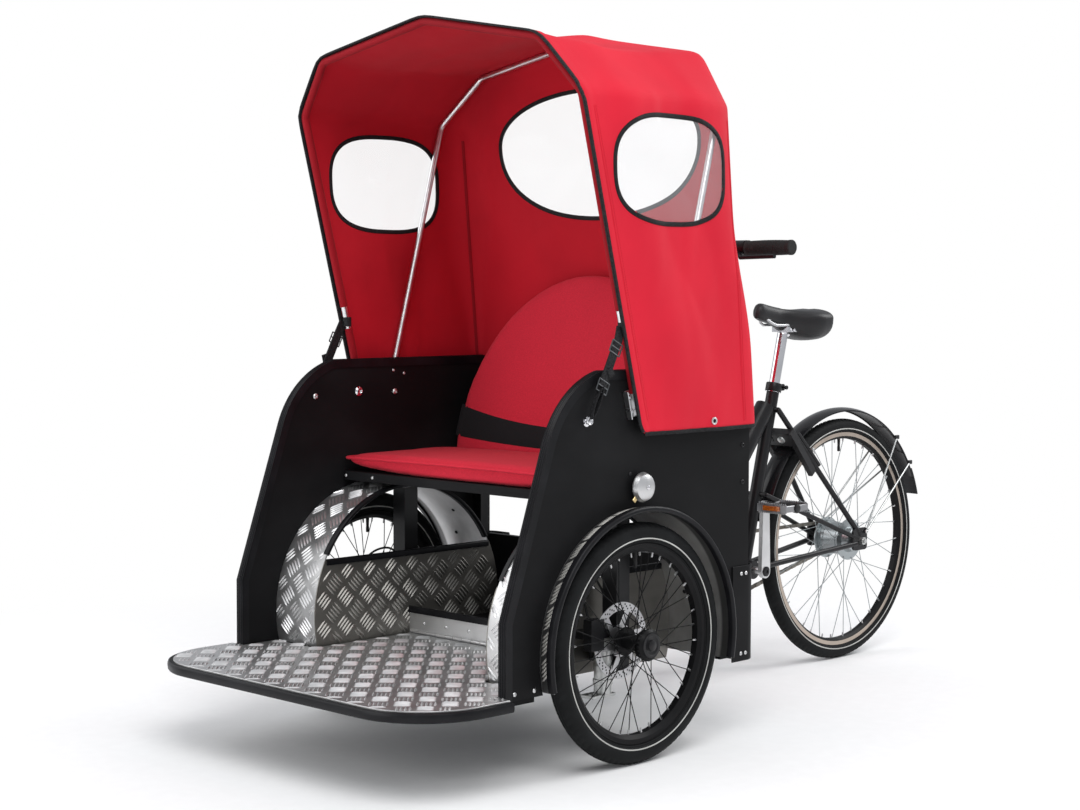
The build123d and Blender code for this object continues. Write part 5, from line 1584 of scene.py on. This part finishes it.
class TRICYCLE_OT_front_wheels(bpy.types.Operator):
    """Front wheels: tyres, rim lips, nipples, valves, hub caps, drilled rotors"""
    bl_idname = "tricycle.front_wheels"
    bl_label = "Front wheels"

    def execute(self, context):
        grooves = context.scene.tricycle_look.tread_blocks
        rim_r = (high("front_rim_left").z - low("front_rim_left").z) / 2
        rim_inner = rim_r - 0.016
        width = high("front_tyre_left").x - low("front_tyre_left").x
        for name, side in SIDES:
            body = f"front_wheel_{name}"
            mid = centre(f"front_tyre_{name}")
            dress("rim", f"front_rim_{name}", f"front_hub_{name}")
            dress("steel", f"front_rotor_{name}")
            rubber_tyre = tyre(f"tyre_{name}", mid, FRONT_R, width, FRONT_R - rim_r, grooves, body, 0.2175)
            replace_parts(rubber_tyre, f"front_tyre_{name}")
            metal = Batch()
            nipples(metal, mid, rim_inner)
            valve(metal, mid, rim_inner)
            for edge in (1, -1):
                lip = hoop(mid + X * edge * 0.0145, rim_r + 0.0012, ALL_ROUND)
                sweep(metal, lip, round_section(0.0018, 8), "rim", closed=True)
            self.cap(metal, mid, side)
            metal.piece(f"wheel_fittings_{name}", body, "black_hub")
            self.rotor(mid, side, name, body)
        return {"FINISHED"}

    def cap(self, metal, mid, side):
        """The hub's outer cap with its centre bolt, and a ring of ridges behind it."""
        lathe(metal, [(0, 0.026), (0.0015, 0.0255), (0.0018, 0.020), (0.0008, 0.0185), (0.0008, 0.012), (0.004, 0.011),
                      (0.0055, 0.008), (0.0058, 0)], mid + X * side * 0.045, X * side, "paint", 32)
        for out in spokes(24):
            slab(metal, mid + X * side * 0.0365 + out * 0.0326, (0.0030, 0.0016, 0.006), "paint", 0.0004,
                 (X.cross(out), out, X))

    def rotor(self, mid, side, name, body):
        """Drilled holes' rims and the rotor's bolts."""
        disc = mid - X * side * 0.041
        drilled, count, half_thick = Batch(), 30, 0.00105
        for ring, radius in enumerate((0.0675, 0.0715, 0.0755)):
            for out in spokes(count, ring / 3):
                for face in (1, -1):
                    lathe(drilled, [(0, 0.0021), (0.0001, 0.0019), (0.0001, 0)],
                          disc + out * radius + X * face * half_thick, X * face, "paint", 8)
        for out in spokes(6):
            bolt(drilled, disc - X * side * 0.001 + out * 0.028, -X * side, 0.004, "zinc")
        drilled.piece(f"rotor_drilling_{name}", body, "rotor_steel")


class TRICYCLE_OT_rear_wheel(bpy.types.Operator):
    """Rear wheel: tyre, black rim with worn brake tracks, nipples, valve, hub rings"""
    bl_idname = "tricycle.rear_wheel"
    bl_label = "Rear wheel"

    def execute(self, context):
        body = "rear_wheel"
        lo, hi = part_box("rear_rim")
        rim_r, half = (hi[2] - lo[2]) / 2, (hi[0] - lo[0]) / 2
        rim_inner, track_in, track_out = rim_r - 0.018, rim_r - 0.011, rim_r - 0.001
        width = high("rear_tyre").x - low("rear_tyre").x
        grooves = round(context.scene.tricycle_look.tread_blocks * REAR_R / FRONT_R)
        shape = tyre("tyre_rear", REAR_AXLE, REAR_R, width, REAR_R - rim_r, grooves, body, 0.2915)
        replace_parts(shape, "rear_tyre")
        rim = Batch()
        lathe(rim, [(-half, track_out), (-half, track_in)], REAR_AXLE, X, "track", 120)
        lathe(rim, [(half, track_in), (half, track_out)], REAR_AXLE, X, "track", 120)
        well = [(half, track_in), (half - 0.0007, rim_r - 0.0118), (half - 0.002, rim_r - 0.014), (half / 2, rim_inner)]
        lip = [(half, track_out), (half - 0.001, rim_r + 0.0012), (half - 0.003, rim_r + 0.0008)]
        lathe(rim, [(-x, r) for x, r in well] + well[::-1], REAR_AXLE, X, "rim", 120)
        lathe(rim, lip + [(-x, r) for x, r in reversed(lip)], REAR_AXLE, X, "rim", 120)
        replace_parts(rim.piece("rim_rear", body, "alloy_rim"), "rear_rim")
        dress("hub", "rear_hub")
        metal = Batch()
        nipples(metal, REAR_AXLE, rim_inner)
        valve(metal, REAR_AXLE, rim_inner)
        for at in (-0.030, -0.020, 0.020, 0.030):
            lathe(metal, [(-0.0012, 0.042), (-0.0008, 0.0432), (0.0008, 0.0432), (0.0012, 0.042)],
                  REAR_AXLE + X * at, X, "hub", 48)
        for out in spokes(16):
            slab(metal, REAR_AXLE - X * 0.0500 + out * 0.0348, (0.006, 0.0034, 0.0022), "steel", 0.0004,
                 (X.cross(out), out, X))
        metal.piece("rear_wheel_fittings", body, "alloy_hub")
        return {"FINISHED"}


# Running gear, push bar, bell

class TRICYCLE_OT_running_gear(bpy.types.Operator):
    """Front frame, axle carriers, calipers with hoses, and bolts"""
    bl_idname = "tricycle.running_gear"
    bl_label = "Running gear"

    def execute(self, context):
        dress("paint", "front_frame", "rear_posts", "brake_calipers")
        dress("zinc", "kingpin", "axle_carriers")
        lo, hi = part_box("axle_carriers")
        post_x = 0.333
        for name, side in SIDES:
            metal = Batch()
            for z in (lo[2] + 0.030, lo[2] + 0.060, hi[2] - 0.030, hi[2] - 0.012):
                lathe(metal, [(-0.006, 0.0192), (-0.005, 0.0212), (0.005, 0.0212), (0.006, 0.0192)],
                      Vector((side * post_x, AXLE_Y, z)), Z, "zinc", 28)
            for y in (-0.040, -0.028):
                bolt(metal, Vector((side * post_x, back(y), lo[2] + 0.006)), Z, 0.005, "zinc")
            for z in (0.262, 0.290):
                hex_nut(metal, Vector((side * (post_x + 0.029), back(-0.076), z)), X * side, 0.005, 0.005)
            metal.piece(f"carrier_fittings_{name}", "cabin", "zinc")
            caliper = Batch()
            block = Vector((side * 0.365, back(-0.075), 0.272))
            slab(caliper, block, (0.012, 0.028, 0.040), "paint", 0.002)
            for shift in (-0.014, 0.014):
                bolt(caliper, block + Z * shift - X * side * 0.0062, -X * side, 0.004, "alloy")
            caliper.piece(f"caliper_body_{name}", "cabin", "black_paint")
            self.hose(name, side)
        self.seat_bolts()
        return {"FINISHED"}

    def hose(self, name, side):
        """Brake hose: an arc from the caliper over the axle to the post."""
        route = [(0.360, -0.075, 0.302), (0.354, -0.080, 0.335), (0.334, -0.068, 0.372), (0.320, -0.030, 0.384),
                 (0.318, 0.000, 0.368), (0.322, 0.0135, 0.338)]
        cord_piece(f"brake_hose_{name}", [(side * x, back(y), z) for x, y, z in route], 0.005, "grip")

    def seat_bolts(self):
        metal = Batch()
        front = low("seat_board").y
        for _, side in SIDES:
            for x in (0.392, 0.300):
                bolt(metal, Vector((side * x, front, low("seat_board").z + 0.010)), -Y, 0.004, "alloy")
        metal.piece("seat_board_bolts", "cabin", "zinc")


class TRICYCLE_OT_push_bar(bpy.types.Operator):
    """Push bar: ribbed grips, cables, flange bolts and the bell"""
    bl_idname = "tricycle.push_bar"
    bl_label = "Push bar and bell"

    def execute(self, context):
        dress("paint", "handlebar", "brake_levers")
        lo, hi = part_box("grips")
        bar = (Vector(lo) + Vector(hi)) / 2
        end, grip_l, ribs = hi[0], 0.130, 22
        step = (grip_l - 0.018) / ribs
        profile = [(0, 0.0128), (0.0005, 0.0175), (0.004, 0.0180), (0.006, 0.0160)]
        for k in range(ribs):
            at, swell = 0.008 + step * k, 0.0012 * math.sin(math.pi * k / ribs)
            profile += [(at, 0.0150 + swell), (at + step * 0.3, 0.0164 + swell), (at + step * 0.7, 0.0164 + swell)]
        profile += [(grip_l - 0.008, 0.0172), (grip_l - 0.002, 0.0172), (grip_l, 0.0150), (grip_l, 0)]
        grip = Batch()
        for _, side in SIDES:
            lathe(grip, profile, Vector((side * (end - grip_l), bar.y, bar.z)), X * side, "grip", 28)
        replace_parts(grip.piece("ribbed_grips", "cabin", "grip_rubber"), "grips")
        self.flanges()
        self.cables(bar, end - grip_l)
        self.bell()
        return {"FINISHED"}

    def flanges(self):
        metal = Batch()
        foot = high("rear_upper_panel").y + 0.0053
        for _, side in SIDES:
            for turn in (45, 135, 225, 315):
                out = Vector((math.cos(math.radians(turn)), 0, math.sin(math.radians(turn)))) * 0.0205
                bolt(metal, Vector((side * 0.190, foot, 0.600)) + out, Y, 0.0042, "alloy")
        metal.piece("push_bar_bolts", "cabin", "zinc")

    def cables(self, bar, inner):
        """Brake cables from the levers to the upper rear board."""
        route = ((0.020, 0.022, 0.012), (0.060, 0.055, 0.018), (0.100, 0.085, 0.090), (0.095, 0.110, 0.200),
                 (0.080, 0.135, 0.300), (0.080, 0.170, 0.345))
        for name, side in SIDES:
            cord_piece(f"brake_cable_{name}", [(side * (inner - x), bar.y - y, bar.z - z) for x, y, z in route], 0.005,
                       "grip")

    def bell(self):
        lo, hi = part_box("bell")
        mid = Vector((lo[0], (lo[1] + hi[1]) / 2, (lo[2] + hi[2]) / 2))
        r, h = (hi[2] - lo[2]) / 2, hi[0] - lo[0]
        bell = Batch()
        lathe(bell, [(0, 0.010), (0.004, 0.010), (0.006, 0.008), (0.008, 0.008)], mid, X, "paint", 20)
        lathe(bell, [(0.008, 0.0), (0.008, r * 0.94), (0.0095, r), (0.011, r), (0.013, r * 0.975), (h * 0.72, r * 0.86),
                     (h * 0.84, r * 0.62), (h * 0.90, r * 0.34), (h * 0.92, r * 0.16)], mid, X, "alloy", 48)
        lathe(bell, [(h * 0.91, r * 0.15), (h * 0.96, r * 0.145), (h, r * 0.09), (h, 0)], mid, X, "chrome", 20)
        slab(bell, mid + Vector((0.010, -r * 0.72, -r * 0.72)), (0.004, 0.016, 0.010), "brass", 0.0008,
             (X, Vector((0, 1, 1)), Vector((0, -1, 1))))
        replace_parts(bell.piece("bell_dome", "cabin", "chrome"), "bell")


def cord_piece(name, route, diameter, finish):
    """Round cable along a route, on the cabin."""
    curve = bpy.data.curves.new(name, "CURVE")
    curve.dimensions = "3D"
    spline = curve.splines.new("NURBS")
    spline.points.add(len(route) - 1)
    for point, place in zip(spline.points, route):
        point.co, point.radius = (*place, 1.0), diameter / 2
    spline.order_u = 3
    spline.use_endpoint_u = True
    spline.resolution_u = 10
    curve.materials.append(FINISHES[finish])
    cord = settle(bpy.data.objects.new(name, curve), "cabin")
    line = bpy.data.meshes.new_from_object(cord.evaluated_get(bpy.context.evaluated_depsgraph_get()))
    points = [v.co for v in line.vertices]
    length = sum((a - b).length for a, b in zip(points, points[1:]))
    bpy.data.meshes.remove(line)
    # the points' radius scales the bevel, and pads the curve's box
    curve.bevel_depth, curve.bevel_resolution, curve.use_fill_caps = 1.0, 3, True
    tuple(route[0])


# Rear frame

class TRICYCLE_OT_rear_frame(bpy.types.Operator):
    """Rear frame: saddle, clamp, mudguard with flap, lock and brake fittings"""
    bl_idname = "tricycle.rear_frame"
    bl_label = "Rear frame"

    def execute(self, context):
        dress("paint", "main_beam", "seat_tube", "bottom_bracket", "chain_stays", "mid_stays", "seat_stays",
              "dropouts")
        dress("plastic", "ring_lock", "rim_brake")
        dress("zinc", "rear_axle", "mudguard_stays")
        dress("chrome", "seat_post")
        self.saddle()
        self.clamp()
        self.mudguard()
        self.lock()
        return {"FINISHED"}

    def saddle(self):
        lo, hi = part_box("saddle")
        top, nose, tail = hi[2] - 0.002, lo[1], hi[1]
        rows, around, crown = 40, 36, 0.025

        def fall(edge, reach, power=2.0):
            """Quarter round: 1 before an edge, 0 at its reach beyond."""
            return math.sqrt(max(0.0, 1 - max(0.0, edge / reach) ** power))

        verts = []
        for r in range(rows + 1):
            s = r / rows
            y = nose + 0.002 + (tail - nose - 0.004) * s
            end = min(1.0, fall(0.10 - s, 0.10), fall(s - 0.80, 0.20, 2.2) + 0.02)
            wide = (0.018 + (hi[0] - 0.019) * smooth((s - 0.30) / 0.46)) * max(end, 0.05)
            drop = 0.010 * math.sin(math.pi * min(1.0, s / 0.9))
            drop += 0.024 * (1 - fall(s - 0.88, 0.12)) + 0.012 * (1 - fall(0.08 - s, 0.08))
            depth = (0.020 + 0.036 * smooth((s - 0.15) / 0.60)) * max(0.30, end)
            for c, t in round_section(1.0, around):
                x = wide * math.copysign(abs(c) ** 0.85, c)
                z = crown * max(0.3, end) * t ** 0.9 if t > 0 else depth * math.copysign(abs(t) ** 0.75, t)
                valley = -0.0015 * math.exp(-(x / 0.010) ** 2) if t > 0 and 0.35 < s < 0.95 else 0.0
                verts.append(Vector((x, y, top - crown - drop + z + valley + 0.020 * (0.42 - s))))
        seat = Batch()
        seat.add(verts, flipped(shell(rows + 1, around)), "vinyl")
        rail = Vector((0, (nose + tail) / 2, lo[2] + 0.0035))
        for side in (1, -1):
            bends = ((0.008, -0.105, 0.022), (0.018, -0.085, 0.006), (0.022, -0.070, 0), (0.022, 0.072, 0),
                     (0.026, 0.088, 0.006), (0.034, 0.104, 0.022))
            rod(seat, [rail + Vector((side * x, y, z)) for x, y, z in bends], 0.0035, "steel", 10)
        piece = seat.piece("saddle_shell", "rear_frame", "saddle_skin", 60)
        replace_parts(piece, "saddle")

    def clamp(self):
        """Collar with its two ears and bolt at the seat tube's top, and the saddle clamp's bolts."""
        lean = Vector((0, 0.113, 0.440)).normalized()
        mid = Vector((0, back(0.988), 0.715)) + lean * 0.012
        metal = Batch()
        lathe(metal, [(-0.011, 0.0165), (-0.011, 0.0198), (-0.009, 0.0206), (0.009, 0.0206), (0.011, 0.0198),
                      (0.011, 0.0140)], mid, lean, "paint", 32)
        pin = mid + Y * 0.024
        rod(metal, [pin - X * 0.024, pin + X * 0.024], 0.003, "paint", 10)
        head = Vector((0, back(1.040), high("seat_post").z - 0.007))
        for _, side in SIDES:
            slab(metal, pin + X * side * 0.008, (0.007, 0.016, 0.017), "paint", 0.002)
            hex_nut(metal, pin + X * side * 0.019, X * side, 0.0055, 0.006, "paint")
            hex_nut(metal, head + X * side * 0.0256, X * side, 0.007, 0.006, "chrome")
        metal.piece("seat_clamp", "rear_frame", "black_paint")

    def mudguard(self):
        """Crowned shell with rolled edges, flap and stay knobs."""
        half, radius = high("rear_mudguard").x, high("rear_mudguard").z - REAR_AXLE.z
        start, end, hem = 25.0, 168.0, -0.0030
        crown = [(0.0008 + 0.0062 * (1 - s * s), s * half) for s in spread(-1, 1, 12)]
        section = crown + [(hem, half), (hem, half - 0.0016)]
        section += [(h - 0.0012, x * 0.97) for h, x in reversed(crown)] + [(hem, 0.0016 - half), (hem, -half)]
        guard = Batch()
        sweep(guard, hoop(REAR_AXLE, radius - 0.0030, spread(start, end, 60)), section, "guard")
        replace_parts(guard.piece("mudguard_shell", "rear_frame", "guard_plastic"), "rear_mudguard")
        flap, edge = Batch(), half * 0.92
        section = [(0.0012, -edge), (0.0022, 0), (0.0012, edge), (-0.0014, edge), (-0.0004, 0), (-0.0014, -edge)]
        sweep(flap, hoop(REAR_AXLE, radius + 0.0035, spread(start - 9, start + 4, 10)), section, "plastic")
        for turn in (33, 49):
            for side in (1, -1):
                at = REAR_AXLE + X * side * (half + 0.003) + radial(turn) * (radius - 0.001)
                slab(flap, at, (0.006, 0.016, 0.011), "plastic", 0.001)
        flap.piece("mudguard_flap", "rear_frame", "guard_plastic")

    def lock(self):
        """Key barrel and shackle slot on the ring lock, nuts on the brake arms."""
        detail = Batch()
        face = Vector((0, -0.759, -0.651))
        front = Vector((0, back(1.005), 0.606)) + face * 0.0165
        lathe(detail, [(0, 0.010), (0.004, 0.010), (0.005, 0.0085), (0.005, 0.004), (0.003, 0.003), (0.003, 0)],
              front + X * 0.026, face, "zinc", 20)
        slab(detail, front - X * 0.020 + face * 0.001, (0.040, 0.014, 0.004), "paint", 0.001, (X, face.cross(X), face))
        arm, reach = centre("rim_brake"), high("rim_brake").x
        for side in (1, -1):
            hex_nut(detail, Vector((side * reach, arm.y, arm.z)), X * side, 0.005, 0.005)
        detail.piece("lock_and_brake_fittings", "rear_frame", "zinc")


CHAIN_X, CHAIN_PITCH, PLATE_R, CRANK_LENGTH = -0.050, 0.0127, 0.0042, 0.165
RING_R, SPROCKET_R = 0.078, 0.034


class TRICYCLE_OT_drive(bpy.types.Operator):
    """Drive: chain links, ring teeth, crank caps, pedals with reflectors"""
    bl_idname = "tricycle.drive"
    bl_label = "Drive"

    def execute(self, context):
        dress("alloy", "crankset")
        bb = Vector((0, back(0.875), 0.275))
        self.chain(bb)
        self.crank(bb)
        for name, side in SIDES:
            self.pedal(name, side)
        return {"FINISHED"}

    def chain(self, bb):
        """Links with plates and rollers along the loop of ring and sprocket."""
        big, small = RING_R + PLATE_R, SPROCKET_R + PLATE_R
        gap = Vector((REAR_AXLE.y - bb.y, REAR_AXLE.z - bb.z))
        tilt = math.degrees(math.atan2(gap.y, gap.x))
        dip = math.degrees(math.asin((big - small) / gap.length))
        up, down = tilt + 90 - dip, tilt - 90 + dip
        ring = arc((bb.y, bb.z), big, up, down + 360, 48) + arc((REAR_AXLE.y, REAR_AXLE.z), small, down, up, 24)
        ring = [Vector((CHAIN_X, y, z)) for y, z in ring + ring[:1]]
        lengths = [0.0]
        for a, b in zip(ring, ring[1:]):
            lengths.append(lengths[-1] + (b - a).length)
        links = 2 * round(lengths[-1] / CHAIN_PITCH / 2)
        places, seg = [], 0
        for k in range(links):
            want = lengths[-1] * k / links
            while lengths[seg + 1] < want:
                seg += 1
            share = (want - lengths[seg]) / max(1e-9, lengths[seg + 1] - lengths[seg])
            places.append(ring[seg].lerp(ring[seg + 1], share))
        ends = arc((CHAIN_PITCH / 2, 0), PLATE_R, -80, 80, 4)
        outline = [(end * (CHAIN_PITCH / 2 + (a - CHAIN_PITCH / 2) * 0.9), end * b) for end in (1, -1) for a, b in ends]
        faces = shell(2, len(outline))
        chain = Batch()
        for k, p in enumerate(places):
            q = places[(k + 1) % links]
            along = (q - p).normalized()
            rise = X.cross(along)
            wide = 0.0036 if k % 2 else 0.0024
            for side in (1, -1):
                verts = [(p + q) / 2 + X * side * (wide + t) + along * a + rise * b
                         for t in (-0.0005, 0.0005) for a, b in outline]
                chain.add(verts, flipped(faces) if side > 0 else faces, "chain")
            lathe(chain, [(-0.0046, 0), (-0.0046, 0.0019), (0.0046, 0.0019), (0.0046, 0)], p, X, "chain", 8)
        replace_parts(chain.piece("chain_links", "rear_frame", "chain_steel"), "chain")

    def crank(self, bb):
        metal, teeth, arm_x = Batch(), 42, 0.072
        for out in spokes(teeth):
            slab(metal, bb + X * CHAIN_X + out * (RING_R + 0.0015), (0.0062, 0.0040, 0.0018), "alloy", 0.0003,
                 (X.cross(out), out, X))
        for side in (1, -1):
            boss = bb + X * side * arm_x
            lathe(metal, [(0, 0.0125), (0.002, 0.0125), (0.003, 0.010), (0.003, 0.005), (0.001, 0.0045), (0.001, 0)],
                  boss, X * side, "paint", 24)
            lathe(metal, [(0, 0.0085), (0.002, 0.0085), (0.0025, 0.006)], boss + Z * side * CRANK_LENGTH, X * side,
                  "alloy", 20)
        for out in spokes(5, 0.5):
            bolt(metal, bb + X * (CHAIN_X - 0.001) + out * 0.062, -X, 0.0045, "alloy")
        metal.piece("crank_fittings", "crank", "alloy_hub")


    def pedal(self, name, side):
        mid = centre(f"pedal_{name}")
        half = high(f"pedal_{name}") - mid
        cage, pins = Batch(), 15
        lathe(cage, [(-half.x, 0.0085), (-half.x, 0.012), (-half.x * 0.7, 0.0105), (0, 0.0095), (half.x * 0.7, 0.0105),
                     (half.x, 0.012), (half.x, 0.0085)], mid, X, "plastic", 24)
        for end in (1, -1):
            slab(cage, mid + X * end * (half.x - 0.004), (0.008, 2 * half.y - 0.004, 0.016), "cage", 0.0015)
        for way in (1, -1):
            wall = mid + Y * way * (half.y - 0.002)
            slab(cage, wall, (2 * half.x, 0.0036, 0.020), "cage", 0.0008)
            slab(cage, wall + Y * way * 0.003, (half.x * 1.15, 0.0034, 0.012), "amber", 0.0008)
            for x in spread(0.005 - half.x, half.x - 0.005, pins - 1):
                for up in (1, -1):
                    slab(cage, wall + X * x + Z * up * 0.0112, (0.0034, 0.0034, 0.0034), "cage", 0.0006)
            slab(cage, mid + Y * way * half.y * 0.55, (2 * half.x - 0.010, 0.010, 0.008), "plastic", 0.001)
        lathe(cage, [(0, 0.0105), (0.0025, 0.0105), (0.004, 0.008), (0.004, 0)], mid + X * side * half.x, X * side,
              "plastic", 20)
        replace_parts(cage.piece(f"pedal_cage_{name}", f"pedal_{name}", "pedal_plastic"), f"pedal_{name}")


# Stage

class TRICYCLE_OT_stage(bpy.types.Operator):
    """Pale floor, soft studio light and the camera at the viewing angle"""
    bl_idname = "tricycle.stage"
    bl_label = "Stage"

    def execute(self, context):
        scene = context.scene
        scene.view_settings.view_transform = "Standard"
        self.floor(scene)
        self.world(scene)
        aim = Vector((0, -0.1, 0.7))
        # name, place, size and power
        lamps = (("key", (2.6, -2.2, 4.2), 3.2, 128), ("fill", (-3.4, -2.6, 2.6), 3.6, 70),
                 ("rim", (1.6, 3.4, 3.4), 2.6, 110), ("front", (-0.9, -4.6, 1.4), 2.4, 54))
        for name, place, size, power in lamps:
            lamp = bpy.data.lights.new(f"{name}_light", "AREA")
            lamp.energy, lamp.size = power, size
            holder = bpy.data.objects.new(f"{name}_light", lamp)
            holder.location = place
            holder.rotation_euler = (aim - Vector(place)).to_track_quat("-Z", "Y").to_euler()
            scene.collection.objects.link(holder)
        camera = bpy.data.cameras.new("camera")
        camera.lens, camera.sensor_width = 66.98, 36.0
        camera.clip_end = 200
        view = bpy.data.objects.new("camera", camera)
        view.location = (3.16736, -3.53342, 0.98053)
        view.rotation_euler = [math.radians(turn) for turn in (90 - 3.363, -0.126, 44.738)]
        scene.collection.objects.link(view)
        scene.camera = view
        return {"FINISHED"}

    def floor(self, scene):
        mesh = bpy.data.meshes.new("floor")
        reach = 40.0
        corners = [(a * reach, b * reach, 0) for a, b in ((-1, -1), (1, -1), (1, 1), (-1, 1))]
        mesh.from_pydata(corners, [], [(0, 1, 2, 3)])
        f = Finish("pale_floor")
        speckle = f.noise(30.0, 3.0)
        shade = f.mix(speckle.step(0.3, 0.8), (0.90, 0.90, 0.90), (0.92, 0.92, 0.92))
        f.done(Base_Color=shade, Roughness=0.8, Specular_IOR_Level=0.1)
        # far from the vehicle the camera sees plain white
        x, y, _ = f.axes(f.place())
        far = (x * x + y * y).step(1.2, 5.0) * f.node("ShaderNodeLightPath", output="Is Camera Ray")
        white = f.node("ShaderNodeEmission", None, {"Color": (1, 1, 1), "Strength": 1.0})
        blend = f.node("ShaderNodeMixShader", None, (far, Value(f, f.shader.outputs[0]), white))
        f.set(f.tree.nodes["Material Output"].inputs["Surface"], blend)
        mesh.materials.append(f.material)
        floor = bpy.data.objects.new("floor", mesh)
        scene.collection.objects.link(floor)

    def world(self, scene):
        scene.world = bpy.data.worlds.new("studio")
        scene.world.use_nodes = True
        nodes = Nodes(scene.world.node_tree)
        sky = nodes.tree.nodes["Background"]
        nodes.set(sky.inputs["Color"], (0.82, 0.84, 0.88))
        nodes.set(sky.inputs["Strength"], 0.62)
        white = nodes.node("ShaderNodeBackground", None, {"Color": (1, 1, 1)})
        seen = nodes.node("ShaderNodeLightPath", output="Is Camera Ray")
        blend = nodes.node("ShaderNodeMixShader", None, (seen, Value(nodes, sky.outputs[0]), white))
        nodes.set(nodes.tree.nodes["World Output"].inputs["Surface"], blend)


OPERATORS = (TRICYCLE_OT_boards, TRICYCLE_OT_plates, TRICYCLE_OT_hood, TRICYCLE_OT_straps, TRICYCLE_OT_cushions,
             TRICYCLE_OT_front_wheels, TRICYCLE_OT_rear_wheel, TRICYCLE_OT_running_gear, TRICYCLE_OT_push_bar,
             TRICYCLE_OT_rear_frame, TRICYCLE_OT_drive, TRICYCLE_OT_stage)


class TRICYCLE_PT_panel(bpy.types.Panel):
    """The tricycle's settings and pieces"""
    bl_label = "Tricycle"
    bl_idname = "TRICYCLE_PT_panel"
    bl_space_type = "VIEW_3D"
    bl_region_type = "UI"
    bl_category = "Tricycle"

    def draw(self, context):
        look = context.scene.tricycle_look
        for name in look.__annotations__:
            self.layout.prop(look, name)
        for operator in OPERATORS:
            self.layout.operator(operator.bl_idname)


CLASSES = (TRICYCLE_PG_look, *OPERATORS, TRICYCLE_PT_panel)


def register():
    for item in CLASSES:
        bpy.utils.register_class(item)
    bpy.types.Scene.tricycle_look = PointerProperty(type=TRICYCLE_PG_look)


def unregister():
    del bpy.types.Scene.tricycle_look
    for item in reversed(CLASSES):
        bpy.utils.unregister_class(item)


def main():
    register()
    make_finishes(bpy.context.scene.tricycle_look)
    for operator in OPERATORS:
        group, name = operator.bl_idname.split(".")
        getattr(getattr(bpy.ops, group), name)()


if __name__ == "__main__":
    main()
